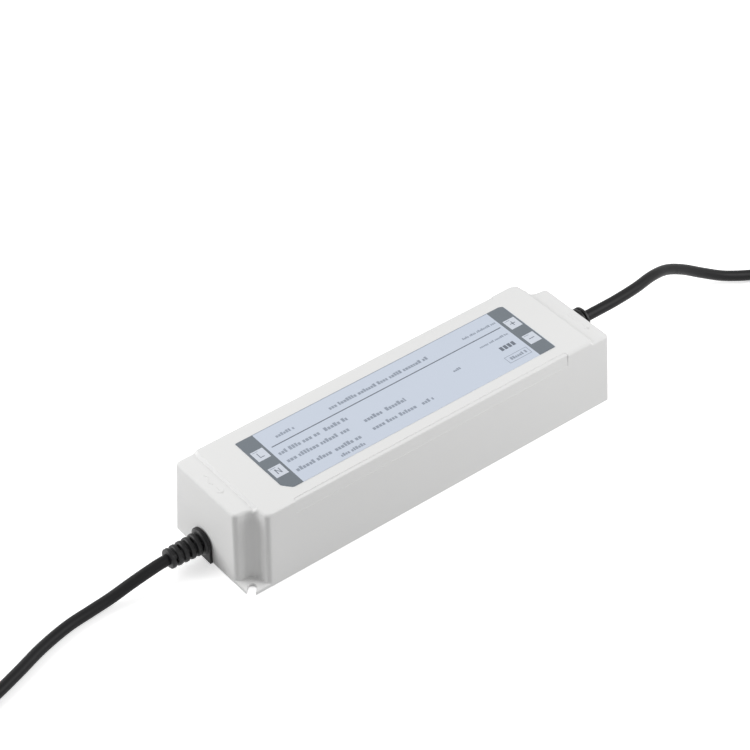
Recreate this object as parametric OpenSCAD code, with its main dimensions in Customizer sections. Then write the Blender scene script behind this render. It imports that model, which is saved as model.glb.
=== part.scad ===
// Potted plug-free LED supply in a drafted plastic tub, with a lead at each end.
// X runs from the mains end to the low-voltage end, Z is up, and the origin is the middle of the base.

/* [Case] */
// Length of the case at its base
case_length = 162.5; // [160:0.5:180]
// Width of the case at its base
case_width = 44; // [43:0.5:52]
// Height of the case at its raised middle
case_height = 32; // [32:0.5:40]
// Thickness of the moulded walls and roof
wall = 1.8; // [1.5:0.1:2]
// How far each wall leans in over the case's height
draft = 1.2; // [0.4:0.1:1.4]
// Radius of the two plain upright corners
corner_radius = 1.5; // [1.3:0.1:2.6]
// Rounding along the top edges
edge_radius = 1.1; // [0.4:0.1:1.2]

/* [End blocks] */
// Length of each lowered end block
block_length = 9.4; // [8.4:0.1:10.4]
// How far the end blocks lie under the top
block_drop = 1.1; // [0.6:0.1:1.6]
// How far the face between top and end block slopes out
block_slope = 1.1; // [0.4:0.1:1.6]

/* [Mounting ears] */
// Width of the hollow above each ear, measured from both outer faces
hollow_width = 7.5; // [7.2:0.1:8]
// Radius of the rounded inner corner of each hollow
hollow_radius = 4; // [3:0.1:4.2]
// Radius of the two rounded lips of each hollow
lip_radius = 1.6; // [1.3:0.1:2]
// Thickness of the ears
ear_thickness = 1.5; // [1.2:0.1:2.4]
// Width of the open screw slots
slot_width = 3.5; // [3:0.1:4.2]
// Distance from the sharp corner to the middle of a slot's round end
slot_inset = 4.4; // [3.6:0.1:5]

/* [Edge inserts] */
// Distance from the case's end to the insert line on both long top edges
insert_end = 20.8; // [16:0.2:30]
// Width of the strip that the line leaves on the top
insert_top = 1.9; // [1.6:0.1:3]
// How far the strip reaches down the side
insert_side = 5.2; // [3:0.1:8]
// Depth of the line
insert_depth = 0.3; // [0.2:0.05:0.5]

/* [Bottom plate] */
// Thickness of the bottom plate
plate_thickness = 2; // [1.6:0.1:2.4]
// Gap between the plate and the walls
plate_gap = 0.15; // [0.1:0.05:0.25]
// Height of the posts that carry the board
post_height = 2.4; // [2.2:0.1:3]

/* [Label] */
// Length of the label
label_length = 119.4; // [100:0.2:122]
// Width of the label
label_width = 29.6; // [24:0.2:34]
// Thickness of the label
label_thickness = 0.15; // [0.1:0.05:0.3]
// Size of the label's two cut corners
label_cut = 3.8; // [1:0.2:6]

/* [Input strain relief] */
// Distance of the mains lead from the case's middle line
input_side = 5.2; // [3:0.1:6]
// Height of the mains lead's middle
input_height = 6.6; // [6.2:0.1:8]
// Radius of the arched flange
flange_radius = 5.35; // [5.15:0.05:5.8]
// Thickness of the arched flange
flange_thickness = 1.2; // [0.8:0.1:1.6]
// Radius of the ribs of the boot
rib_radius = 4; // [3.6:0.05:4.2]
// Distance from rib to rib
rib_pitch = 2.6; // [2.3:0.05:2.8]
// Number of ribs
rib_count = 5; // [4:1:7]

/* [Output grommet] */
// Distance of the low-voltage lead from the case's middle line
output_side = 3.8; // [2:0.1:6]
// Depth of the low-voltage lead's middle under the top
output_depth = 6; // [6:0.1:9]
// Radius of the grommet's two rims
grommet_radius = 4.6; // [4.2:0.05:4.8]
// Thickness of each rim
rim_thickness = 1; // [0.8:0.1:1.2]

/* [Leads] */
// Diameter of both leads
lead_diameter = 4.2; // [4:0.1:4.7]
// Diameter of the separate wires in a lead
wire_diameter = 1.9; // [1.6:0.1:2.1]
// Diameter of the tinned strands
strand_diameter = 1.2; // [0.8:0.1:1.4]

/* [Circuit board] */
// Length of the board
board_length = 134; // [133:0.5:140]
// Width of the board
board_width = 36; // [35.4:0.2:36.6]
// Thickness of the board
board_thickness = 1.6; // [1.2:0.1:2]
// Thickness of the insulating sheet under the board
sheet_thickness = 0.4; // [0.2:0.1:0.6]
// Depth of the case's inside that the potting leaves free under the roof
potting_gap = 3; // [2.8:0.1:3.4]

/* [Inner parts] */
// Diameter of the bulk capacitor
bulk_diameter = 18; // [16:0.5:18]
// Length of the bulk capacitor
bulk_length = 30; // [25:0.5:31]
// Height of the transformer's core
core_height = 18.4; // [16:0.2:18.6]
// Length of the transformer's core
core_length = 25; // [22:0.5:26]
// Thickness of the transformer's core
core_depth = 12; // [10:0.5:14]
// Outer diameter of the choke's ring core
choke_diameter = 20; // [18:0.5:21]
// Diameter of the two output capacitors
filter_diameter = 10; // [8:0.5:10.5]
// Height of the two output capacitors
filter_height = 18; // [14:0.5:18.5]
// Length of the two heatsinks
heatsink_length = 26; // [22:0.5:28]
// Thickness of the two heatsinks
heatsink_thickness = 2; // [1.5:0.1:2.2]

/* [Hidden] */
$fn = 48;

// Overlap of a cut past the face that it opens
cut = 1;
// Running gap between pieces that touch nothing
gap = 0.15;
half_length = case_length / 2;
half_width = case_width / 2;
block_height = case_height - block_drop;
// Steps in the round stretches of the case's outline
lip_steps = 4;
hollow_steps = 8;
// The hollow's flat sides open outwards by this angle
hollow_lean = 6;
corner_steps = 6;
edge_steps = 3;
// The ears stand this far inside the leaning walls' foot
ear_setback = lean(ear_thickness) + 0.04;

function lean(z) = draft * z / case_height;
function arc(centre, radius, from, to, steps) = [
    for (i = [0 : steps])
        let (a = from + (to - from) * i / steps)
        centre + radius * [cos(a), sin(a)]
];

// Outline of one hollowed corner, measured inwards from the sharp outer corner.
// The faces lie an offset inside the outer ones. A lip's middle is near one face and far from the other.
function lip_reach(near) =
    let (
        middle = (hollow_width - hollow_radius) * (sin(hollow_lean) + cos(hollow_lean)),
        line = middle + hollow_radius + near
    )
    (line - near * sin(hollow_lean)) / cos(hollow_lean);
function hollow_corner(offset, lip) =
    let (
        near = offset + lip,
        far = lip_reach(near),
        middle = hollow_width - hollow_radius,
        wall_lip = arc([near, far], lip, 180, 270 - hollow_lean, lip_steps),
        side_lip = arc([far, near], lip, 180 + hollow_lean, 270, lip_steps),
        hollow = arc([middle, middle], hollow_radius + offset, 90 - hollow_lean, hollow_lean, hollow_steps)
    )
    concat(wall_lip, hollow, side_lip);

// Half of the case's outline at a height: a hollowed corner, then a plain one.
function half_outline(z, offset, lip, corner) =
    let (
        sharp = [half_length - lean(z), half_width - lean(z)],
        plain = [offset + corner - sharp[0], sharp[1] - offset - corner]
    )
    concat(
        [for (p = hollow_corner(offset, lip)) sharp - p],
        arc(plain, corner, 90, 180, corner_steps)
    );
function outline(z, offset, lip, corner) =
    let (half = half_outline(z, offset, lip, corner))
    concat(half, [for (p = half) -p]);

function centre_of(points) = [for (p = points) 1] * points / len(points);

// A closed solid through rings of equally many points, each end a fan about its middle.
module loft(rings) {
    count = len(rings[0]);
    last = len(rings) - 1;
    start_middle = len(rings) * count;
    sides = [
        for (r = [0 : last - 1], i = [0 : count - 1])
            let (j = (i + 1) % count, a = r * count, b = a + count)
            each [[a + i, b + i, b + j], [a + i, b + j, a + j]]
    ];
    ends = [
        for (i = [0 : count - 1])
            let (j = (i + 1) % count, b = last * count)
            each [[start_middle, i, j], [start_middle + 1, b + j, b + i]]
    ];
    polyhedron(
        points = concat([for (ring = rings) each ring], [centre_of(rings[0]), centre_of(rings[last])]),
        faces = concat(sides, ends),
        convexity = 6
    );
}

function at_height(points, z) = [for (p = points) [p[0], p[1], z]];

// The case's leaning outer form up to a height, with its rounded top edge.
module outer_form(top, proud = 0) {
    foot = top - edge_radius;
    rounding = [
        for (k = [0 : edge_steps])
            let (
                a = 90 * k / edge_steps,
                z = foot + edge_radius * sin(a),
                inset = edge_radius * (1 - cos(a))
            )
            at_height(outline(z, inset - proud, lip_radius - inset, corner_radius - inset), z)
    ];
    loft(concat([at_height(outline(-cut, -proud, lip_radius, corner_radius), -cut)], rounding));
}

// A leaning form that lies an offset inside the outer one.
inner_lip = 0.3;
inner_corner = 0.5;
module inner_form(offset, from, to) {
    loft([
        for (z = [from, to])
            at_height(outline(z, offset, inner_lip, inner_corner), z)
    ]);
}

// The raised middle stands this little outside the walls under it
middle_proud = 0.02;
module case_body() {
    top_end = half_length - block_length;
    slope_end = top_end - block_slope * edge_radius / block_drop;
    outer_form(block_height);
    intersection() {
        outer_form(case_height, middle_proud);
        rotate([90, 0, 0])
            linear_extrude(case_width + 2 * cut, center = true)
                polygon([
                    [-top_end - block_slope, block_height - edge_radius - cut],
                    [top_end + block_slope, block_height - edge_radius - cut],
                    [top_end + block_slope, block_height],
                    [slope_end, case_height + edge_radius],
                    [-slope_end, case_height + edge_radius],
                    [-top_end - block_slope, block_height]
                ]);
    }
    for (turn = [0, 180])
        rotate([0, 0, turn])
            ear();
}

// A square plate at the foot of a hollowed corner.
ear_side = lip_reach(lip_radius);
ear_corner = 0.8;
module ear() {
    reach = [half_length - ear_setback, half_width - ear_setback];
    below = cut / 2;
    translate([0, 0, -below])
        linear_extrude(below + ear_thickness)
            polygon(concat(
                arc(reach - [ear_corner, ear_corner], ear_corner, 0, 90, corner_steps),
                [[reach[0] - ear_side, reach[1]], reach - [ear_side, ear_side], [reach[0], reach[1] - ear_side]]
            ));
}

// A screw slot that opens through the corner along its diagonal.
module ear_slot() {
    translate([half_length, half_width, -cut])
        rotate([0, 0, 45])
            translate([-slot_inset, 0, 0]) {
                cylinder(d = slot_width, h = ear_thickness + 2 * cut);
                translate([0, -slot_width / 2, 0])
                    cube([slot_inset + slot_width, slot_width, ear_thickness + 2 * cut]);
            }
}

// What the case's forms leave under its base, which is cut flat.
module below_base() {
    translate([-case_length, -case_width, -2 * cut])
        cube([2 * case_length, 2 * case_width, 2 * cut]);
}

// The inside of the case: one leaning space, and a pocket in the raised middle.
pocket_end = half_length - block_length - 2 * wall;
pocket_side = half_width - wall - draft - gap;
module case_inside() {
    inner_form(wall, -cut, block_height - wall);
    translate([-pocket_end, -pocket_side, plate_thickness + cut])
        cube([2 * pocket_end, 2 * pocket_side, case_height - wall - plate_thickness - cut]);
}

// The fine line that frames the strip along one long top edge.
line_width = 0.25;
module insert_line() {
    long = 2 * (half_length - insert_end);
    top_side = half_width - lean(case_height) - insert_top;
    side_face = half_width - lean(case_height - insert_side);
    translate([-long / 2, top_side, case_height - insert_depth])
        cube([long, line_width, insert_depth + cut]);
    translate([-long / 2, side_face - insert_depth, case_height - insert_side])
        cube([long, insert_depth + cut, line_width]);
    for (x = [-long / 2, long / 2 - line_width]) {
        translate([x, top_side, case_height - insert_depth])
            cube([line_width, insert_top + cut, insert_depth + cut]);
        translate([x, side_face - insert_depth, case_height - insert_side])
            cube([line_width, insert_depth + cut, insert_side + cut]);
    }
}

// An arch: a half disc on a straight-sided foot with a flat end, thick along X.
module arch(radius, foot, thickness) {
    rotate([90, 0, 90])
        linear_extrude(thickness) {
            intersection() {
                circle(r = radius);
                translate([-radius, -foot])
                    square([2 * radius, foot + radius]);
            }
            translate([-radius, -foot])
                square([2 * radius, foot]);
        }
}

neck_radius = 4.1;
neck_length = wall + ear_setback + lean(input_height + flange_radius) + gap / 2;
output_height = case_height - output_depth;
grommet_neck = 2.75;
// Outer face of the wall where the grommet's lower rim edge meets it
output_face = half_length - lean(output_height - grommet_radius) + ear_setback;

module housing() {
    color("whitesmoke")
        difference() {
            case_body();
            below_base();
            case_inside();
            for (turn = [0, 180])
                rotate([0, 0, turn]) {
                    ear_slot();
                    insert_line();
                }
            translate([-half_length - cut, input_side, input_height])
                arch(neck_radius + gap, input_height + cut / 2, wall + 2 * cut);
            translate([half_length - wall - 2 * cut, -output_side, output_height])
                rotate([0, 90, 0])
                    cylinder(r = grommet_neck + gap / 2, h = wall + 4 * cut);
        }
}

post_diameter = 5;
post_inset = 3.5;
post_places = [
    for (x = [-1, 1], y = [-1, 1])
        [x * (board_length / 2 - post_inset), y * (board_width / 2 - post_inset)]
];
board_bottom = plate_thickness + post_height;
board_top = board_bottom + board_thickness;

module bottom_plate() {
    color("gainsboro") {
        linear_extrude(plate_thickness)
            polygon(outline(0, wall + plate_gap, inner_lip, inner_corner));
        for (p = post_places)
            translate([p[0], p[1], plate_thickness])
                cylinder(d = post_diameter, h = post_height);
    }
}

module rating_label() {
    x = label_length / 2;
    y = label_width / 2;
    small = label_cut / 4;
    color("lightsteelblue")
        translate([0, 0, case_height])
            linear_extrude(label_thickness)
                polygon([
                    [x, y - label_cut], [x - label_cut, y], [small - x, y], [-x, y - small],
                    [-x, label_cut - y], [label_cut - x, -y], [x - small, -y], [x, small - y]
                ]);
}

// A moulded strain relief for the mains lead, drawn with its cable along +X and its wall face at X = 0.
lead_bore = lead_diameter / 2 + 0.05;
step_thickness = 0.5;
step_setback = 0.7;
rib_rounding = 0.76;
web_radius = rib_radius - 0.5;
window_width = 1.1;
web_width = 3.2;
boot_gap = 1.6;
boot_start = flange_thickness + step_thickness + boot_gap;
boot_length = boot_start + (rib_count - 1) * rib_pitch + rib_rounding;
module strain_relief_form() {
    foot = input_height;
    difference() {
        union() {
            arch(flange_radius, foot, flange_thickness);
            translate([flange_thickness, 0, 0])
                arch(flange_radius - step_setback, foot - step_setback, step_thickness);
            translate([-wall - gap, 0, 0])
                arch(neck_radius, foot, wall + gap);
            translate([-neck_length, 0, 0])
                arch(neck_radius, foot - plate_thickness - gap, neck_length);
            translate([-neck_length - flange_thickness, 0, 0])
                arch(flange_radius, foot - plate_thickness - gap, flange_thickness);
            rotate([0, 90, 0])
                rotate_extrude() {
                    square([web_radius, boot_length - rib_rounding]);
                    for (i = [0 : rib_count - 1])
                        translate([rib_radius - rib_rounding, boot_start + i * rib_pitch])
                            circle(r = rib_rounding);
                    translate([0, boot_start - rib_rounding])
                        square([rib_radius - rib_rounding, boot_length - boot_start + rib_rounding]);
                }
        }
        translate([-neck_length - flange_thickness - cut, 0, 0])
            rotate([0, 90, 0])
                cylinder(r = lead_bore, h = boot_length + neck_length + flange_thickness + 2 * cut);
        for (i = [0 : rib_count - 2])
            translate([boot_start + (i + 0.5) * rib_pitch, 0, 0])
                rotate([i % 2 == 0 ? 0 : 90, 0, 0])
                    cube([window_width, 2 * rib_radius + cut, web_width], center = true);
    }
}

module input_strain_relief() {
    color("#202020")
        translate([-half_length - ear_setback, input_side, input_height])
            rotate([0, 0, 180])
                strain_relief_form();
}

// A round grommet with two rims, a neck through the wall and a barb inside.
groove_length = 0.6;
groove_radius = grommet_radius - 0.75;
barb_length = 1.2;
barb_rise = 0.25;
wall_depth = wall + 2 * gap + lean(2 * grommet_neck);
grommet_length = 2 * rim_thickness + groove_length;
module output_grommet() {
    color("#202020")
        translate([output_face, -output_side, output_height])
            rotate([0, 90, 0])
                difference() {
                    rotate_extrude()
                        polygon([
                            [lead_bore, -wall_depth - barb_length],
                            [grommet_neck, -wall_depth - barb_length],
                            [grommet_neck + barb_rise, -wall_depth],
                            [grommet_neck, -wall_depth],
                            [grommet_neck, 0],
                            [grommet_radius, 0],
                            [grommet_radius, rim_thickness],
                            [groove_radius, rim_thickness],
                            [groove_radius, rim_thickness + groove_length],
                            [grommet_radius, rim_thickness + groove_length],
                            [grommet_radius, grommet_length],
                            [lead_bore, grommet_length]
                        ]);
                }
}

// A tube of flat-sided rings along a route.
function unit(v) = v / norm(v);
function heading(route, i) = unit(route[min(i + 1, len(route) - 1)] - route[max(i - 1, 0)]);
function side_of(d) = unit(cross([0, 0, 1], d));
module tube(route, diameter, sides) {
    rings = [
        for (i = [0 : len(route) - 1])
            let (d = heading(route, i), s = side_of(d), u = cross(d, s))
            [
                for (k = [0 : sides - 1])
                    let (a = 360 * k / sides)
                    route[i] + diameter / 2 * (cos(a) * s + sin(a) * u)
            ]
    ];
    loft([for (i = [len(rings) - 1 : -1 : 0]) rings[i]]);
}

// Each lead runs out, down to the surface and into one inward winding turn, which its wires follow on.
lead_sides = 12;
wire_sides = 8;
lead_rest = lead_diameter / 2;
turn_radius = 24;
turn_step = 30;
turn_closing = 5.8;
// Distances beyond the case's end, sideways places and share of the fall, for the mains lead
input_out = [
    [-8, 0, 0], [14.5, 0, 0], [22, 0, 0.16], [30, 0, 0.46], [38, 0, 0.82], [46, -0.2, 0.98],
    [56, -1.2, 1], [68, -4.2, 1], [80, -8.6, 1], [93, -12.9, 1], [106, -15.9, 1]
];
input_turn_at = [-117.5, -16.8];
// The same for the low-voltage lead
output_out = [
    [-8, 0, 0], [10, 0, 0], [20, 0.2, 0], [30, 1.4, 0.02], [40, 3.8, 0.07], [50, 6.2, 0.21],
    [60, 7, 0.43], [70, 6, 0.68], [80, 3.4, 0.88], [91, -0.8, 0.98], [103, -6.2, 1],
    [116, -11.6, 1], [130, -15, 1]
];
output_turn_at = [143, -16];
input_turn_end = 12;
output_turn_end = 9;

// A point of the winding turn. A positive hand turns left from +X, a negative one turns right from -X.
function turn_point(start, hand, steps, side, z) =
    let (
        a = steps * turn_step,
        radius = turn_radius - turn_closing * a / 360 + side,
        middle = start + [0, turn_radius]
    )
    [middle[0] + hand * radius * sin(a), middle[1] - radius * cos(a), z];

input_exit = [-half_length, input_side, input_height];
output_exit = [half_length, -output_side, output_height];
input_turn = [input_exit[0] + input_turn_at[0], input_exit[1] + input_turn_at[1]];
output_turn = [output_exit[0] + output_turn_at[0], output_exit[1] + output_turn_at[1]];
function way_out(exit, places, way) = [
    for (p = places)
        exit + [way * p[0], p[1], (lead_rest - exit[2]) * p[2]]
];
input_route = concat(
    way_out(input_exit, input_out, -1),
    [for (i = [0 : input_turn_end]) turn_point(input_turn, -1, i, 0, lead_rest)]
);
output_route = concat(
    way_out(output_exit, output_out, 1),
    [for (i = [0 : output_turn_end]) turn_point(output_turn, 1, i, 0, lead_rest)]
);

// The loose wires leave the lead's end face straight and then lie along the turn:
// steps past the lead's end, places outwards from the turn, and how high they lie.
pair_spread = 1.1;
wire_start = 1.2;
wire_steps = [0.7, 1.6, 2.6, 3.6];
wire_outer = [0.6, 0.1, -0.2, -0.4];
wire_inner = [-2.5, -3.3, -4.2, -5.1];
wire_rise = [0.5, 0.1, 0, 0];
wire_rest = wire_diameter / 2;
strand_length = 6;
function wire_route(lead, start, hand, end, side) =
    let (
        last = len(lead) - 1,
        way = heading(lead, last),
        from = lead[last] - side * hand * pair_spread * side_of(way),
        places = side > 0 ? wire_outer : wire_inner
    )
    concat([from, from + wire_start * way], [
        for (i = [0 : len(wire_steps) - 1]) turn_point(
            start, hand, end + wire_steps[i], places[i],
            wire_rest + (lead_rest - wire_rest) * wire_rise[i]
        )
    ]);
input_wires = [for (side = [1, -1]) wire_route(input_route, input_turn, -1, input_turn_end, side)];
output_wires = [for (side = [1, -1]) wire_route(output_route, output_turn, 1, output_turn_end, side)];
function strand_route(wire) =
    let (last = len(wire) - 1)
    [wire[last], wire[last] + strand_length * heading(wire, last)];

module input_cable() {
    color("#262626")
        tube(input_route, lead_diameter, lead_sides);
}
module output_cable() {
    color("#262626")
        tube(output_route, lead_diameter, lead_sides);
}
module input_live_wire() {
    color("saddlebrown")
        tube(input_wires[0], wire_diameter, wire_sides);
}
module input_neutral_wire() {
    color("royalblue")
        tube(input_wires[1], wire_diameter, wire_sides);
}
module input_strands() {
    color("silver")
        for (wire = input_wires)
            tube(strand_route(wire), strand_diameter, wire_sides);
}
module output_positive_wire() {
    color("firebrick")
        tube(output_wires[0], wire_diameter, wire_sides);
}
module output_negative_wire() {
    color("#303030")
        tube(output_wires[1], wire_diameter, wire_sides);
}
module output_strands() {
    color("silver")
        for (wire = output_wires)
            tube(strand_route(wire), strand_diameter, wire_sides);
}

// Places on the board, measured from its two ends and its edges
input_end = -board_length / 2;
output_end = board_length / 2;
board_side = board_width / 2;
pin_diameter = 0.8;
pin_sides = 8;
pin_hole = 1.1;
pin_below = 1.2;
seat = 0.3;
// How far a part's hidden pin stub stands in its body
pin_stub = 1;

fuse_at = [input_end + 10, 6 - board_side];
fuse_diameter = 8.4;
fuse_height = 7.7;
varistor_at = [input_end + 20, 7 - board_side];
varistor_diameter = 10.5;
thermistor_at = [input_end + 11, board_side - 6];
thermistor_diameter = 9;
disc_thickness = 4.4;
disc_lift = 1;
safety_at = [input_end + 84.5, 5.2];
safety_diameter = 7.5;
safety_thickness = 3.4;
line_size = [8, 17, 13];
line_at = [input_end + 21.5, board_side - 2 - line_size[1] / 2];
choke_at = [input_end + 40, 4.5];
choke_hole = 11;
choke_height = 8;
winding_thickness = 1.2;
winding_ridge = 0.4;
winding_turns = 10;
winding_span = 130;
choke_lift = seat + winding_thickness + winding_ridge + gap;
bridge_size = [15, 4, 11];
bridge_at = [input_end + 34, 4 - board_side];
bulk_at = [input_end + 55, 1.2 + bulk_diameter / 2 - board_side];
bulk_axis = board_top + seat + bulk_diameter / 2;
bulk_pin_reach = 3;
snubber_at = [input_end + 61, 5.6];
snubber_length = 10;
snubber_diameter = 4;
snubber_lead = 2;
chip_at = [input_end + 75, 6];
chip_size = [5, 4, 1.5];
coupler_at = [input_end + 87, board_side - 3.5];
coupler_size = [6, 4.6, 3.4];
leg_width = 0.5;
leg_sheet = 0.26;
leg_out = 0.4;
leg_rise = 1.8;
heatsink_height = 18.6;
heatsink_edge = 1;
heatsink_lift = 0.2;
primary_heatsink_at = [input_end + 55 + heatsink_length / 2, board_side - heatsink_edge];
secondary_heatsink_at = [output_end - 5 - heatsink_length / 2, board_side - heatsink_edge];
transistor_width = 10.2;
transistor_height = 15.4;
transistor_body = 9;
transistor_depth = 4.4;
tab_thickness = 1.3;
transistor_lift = 3.2;
pad_gap = 0.1;
screw_diameter = 2.9;
screw_hole = 3;
tab_hole = 3.6;
screw_height = transistor_lift + 12.4;
screw_head = 5.4;
screw_head_height = 1.8;
screw_recess = 2.6;
screw_recess_depth = 0.8;
screw_end = 0.2;
primary_transistor_at = primary_heatsink_at[0];
output_rectifier_at = output_end - 16;
filter_at = [for (y = [-3.2, 8.8]) [output_end - 16, y]];
inductor_at = [output_end - 5, 8.8];
inductor_diameter = 9;
inductor_waist = 5;
inductor_height = 13;
inductor_flange = 1.6;
transformer_at = [output_end - 34, 0];
bobbin_lift = 1.7;
core_leg = 3.2;
core_split = 0.1;
bobbin_wall = 0.8;
bobbin_reach = 11;
coil_reach = 10.3;
coil_inset = 0.6;
flange_plate = 0.9;

// Where each part's pins go through the board
function pin_row(at, step, count) = [for (i = [0 : count - 1]) at + (i - (count - 1) / 2) * step];
fuse_pins = pin_row(fuse_at, [5, 0], 2);
varistor_pins = pin_row(varistor_at, [1.4, 6], 2);
thermistor_pins = pin_row(thermistor_at, [1.4, 5], 2);
safety_pins = pin_row(safety_at, [1, 5], 2);
line_pins = pin_row(line_at, [0, 13], 2);
choke_pins = [
    for (a = [1, -1] * (winding_span / 2 - 4), side = [1, -1])
        choke_at + (choke_diameter / 2 + winding_thickness) * side * [cos(a), sin(a)]
];
bridge_pins = pin_row(bridge_at, [3.8, 0], 4);
bulk_pins = pin_row(bulk_at - [2, 0], [0, 7.5], 2);
snubber_pins = pin_row(snubber_at, [snubber_length + 2 * snubber_lead, 0], 2);
coupler_pins = [
    for (x = [-1.27, 1.27], y = [-1, 1])
        coupler_at + [x, y * (coupler_size[1] / 2 + leg_out)]
];
package_pitch = [2.54, 0];
package_pin_depth = heatsink_thickness + 2.6;
primary_pins_at = [primary_transistor_at, primary_heatsink_at[1] - package_pin_depth];
primary_pins = pin_row(primary_pins_at, package_pitch, 3);
secondary_pins_at = [output_rectifier_at, package_pin_depth - secondary_heatsink_at[1]];
secondary_pins = pin_row(secondary_pins_at, package_pitch, 3);
bobbin_pins = [for (x = [-7.5, -2.5, 2.5, 7.5], y = [-9, 9]) transformer_at + [x, y]];
filter_pins = [for (p = filter_at, y = [-2.5, 2.5]) p + [0, y]];
inductor_pins = pin_row(inductor_at, [0, 6], 2);
all_pins = concat(
    fuse_pins, varistor_pins, thermistor_pins, safety_pins, line_pins, choke_pins, bridge_pins,
    bulk_pins, snubber_pins, coupler_pins, primary_pins, secondary_pins, bobbin_pins, filter_pins,
    inductor_pins
);

module pins(places, top) {
    for (p = places)
        translate([p[0], p[1], board_bottom - pin_below])
            cylinder(d = pin_diameter, h = top - board_bottom + pin_below, $fn = pin_sides);
}

module insulating_sheet() {
    color("ivory")
        translate([0, 0, plate_thickness])
            linear_extrude(sheet_thickness)
                difference() {
                    square([board_length, board_width - 1], center = true);
                    for (p = post_places)
                        translate(p)
                            circle(d = post_diameter + 2 * gap);
                }
}

module circuit_board() {
    color("seagreen")
        translate([0, 0, board_bottom])
            linear_extrude(board_thickness)
                difference() {
                    square([board_length, board_width], center = true);
                    for (p = all_pins)
                        translate(p)
                            circle(d = pin_hole, $fn = pin_sides);
                }
}

// A disc part that stands on edge across the board.
disc_bevel = 1.2;
module disc_part(at, diameter, thickness, places) {
    middle = board_top + disc_lift + diameter / 2;
    translate([at[0], at[1], middle])
        rotate([0, 90, 0])
            rotate_extrude()
                polygon([
                    [0, -thickness / 2], [diameter / 2 - disc_bevel, -thickness / 2],
                    [diameter / 2, disc_bevel - thickness / 2], [diameter / 2, thickness / 2 - disc_bevel],
                    [diameter / 2 - disc_bevel, thickness / 2], [0, thickness / 2]
                ]);
    pins(places, middle - diameter / 4);
}

// A can with a crimped groove near its base, standing on Z = 0.
module can(diameter, height) {
    r = diameter / 2;
    bead = diameter * 0.05;
    rotate_extrude()
        polygon([
            [0, 0], [r - bead, 0], [r, bead], [r, 3 * bead], [r - bead, 4 * bead], [r, 5 * bead],
            [r, height - bead], [r - bead, height], [0, height]
        ]);
}

module fuse() {
    color("khaki") {
        translate([fuse_at[0], fuse_at[1], board_top + seat])
            can(fuse_diameter, fuse_height);
        pins(fuse_pins, board_top + pin_stub);
    }
}
module varistor() {
    color("steelblue")
        disc_part(varistor_at, varistor_diameter, disc_thickness, varistor_pins);
}
module thermistor() {
    color("darkolivegreen")
        disc_part(thermistor_at, thermistor_diameter, disc_thickness, thermistor_pins);
}
module safety_capacitor() {
    color("royalblue")
        disc_part(safety_at, safety_diameter, safety_thickness, safety_pins);
}

module line_capacitor() {
    bevel = 1;
    x = line_size[0] / 2;
    z = line_size[2];
    color("gold") {
        translate([line_at[0], line_at[1], board_top + seat])
            rotate([90, 0, 0])
                linear_extrude(line_size[1], center = true)
                    polygon([
                        [-x, 0], [x, 0], [x, z - bevel],
                        [x - bevel, z], [bevel - x, z], [-x, z - bevel]
                    ]);
        pins(line_pins, board_top + pin_stub);
    }
}

choke_base = board_top + choke_lift;
choke_pin_top = choke_base + 2;
module choke_core() {
    color("dimgray")
        translate([choke_at[0], choke_at[1], choke_base])
            difference() {
                cylinder(d = choke_diameter, h = choke_height);
                translate([0, 0, -cut])
                    cylinder(d = choke_hole, h = choke_height + 2 * cut);
            }
}

// A sleeve round part of the ring core, between two distances from its faces.
module choke_section(reach) {
    translate([choke_hole / 2 - reach, -reach])
        square([(choke_diameter - choke_hole) / 2 + 2 * reach, choke_height + 2 * reach]);
}
module choke_sleeve(from, to, span) {
    rotate_extrude(angle = span)
        difference() {
            choke_section(to);
            choke_section(from);
        }
}
module choke_windings() {
    step = winding_span / winding_turns;
    reach = gap + winding_thickness;
    color("peru") {
        translate([choke_at[0], choke_at[1], choke_base])
            for (side = [0, 180])
                rotate([0, 0, side - winding_span / 2]) {
                    choke_sleeve(gap, reach, winding_span);
                    for (i = [0 : winding_turns - 1])
                        rotate([0, 0, (i + 0.2) * step])
                            choke_sleeve(reach - winding_ridge, reach + winding_ridge, 0.6 * step);
                }
        pins(choke_pins, choke_pin_top);
    }
}

module bridge_rectifier() {
    x = bridge_size[0] / 2;
    z = bridge_size[2];
    nick = 3;
    color("#303030") {
        translate([bridge_at[0], bridge_at[1], board_top + seat])
            rotate([90, 0, 0])
                linear_extrude(bridge_size[1], center = true)
                    polygon([[-x, 0], [x, 0], [x, z - nick], [x - nick, z], [-x, z]]);
        pins(bridge_pins, board_top + pin_stub);
    }
}

module bulk_capacitor() {
    color("#2c3440") {
        translate([bulk_at[0], bulk_at[1], bulk_axis])
            rotate([0, 90, 0])
                can(bulk_diameter, bulk_length);
        pins(bulk_pins, bulk_axis);
        for (p = bulk_pins)
            translate([p[0], p[1], bulk_axis - pin_diameter / 2])
                rotate([0, 90, 0])
                    cylinder(d = pin_diameter, h = bulk_pin_reach, $fn = pin_sides);
    }
}

module snubber_resistor() {
    middle = board_top + seat + snubber_diameter / 2;
    r = snubber_diameter / 2;
    l = snubber_length / 2;
    color("lightgray") {
        translate([snubber_at[0], snubber_at[1], middle])
            rotate([0, 90, 0]) {
                rotate_extrude()
                    polygon([
                        [0, -l], [0.7 * r, -l], [r, 0.4 * r - l], [r, r - l], [0.85 * r, 1.5 * r - l],
                        [0.85 * r, l - 1.5 * r], [r, l - r], [r, l - 0.4 * r], [0.7 * r, l], [0, l]
                    ]);
                cylinder(
                    d = pin_diameter, h = snubber_length + 2 * snubber_lead,
                    center = true, $fn = pin_sides
                );
            }
        pins(snubber_pins, middle);
    }
}

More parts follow.
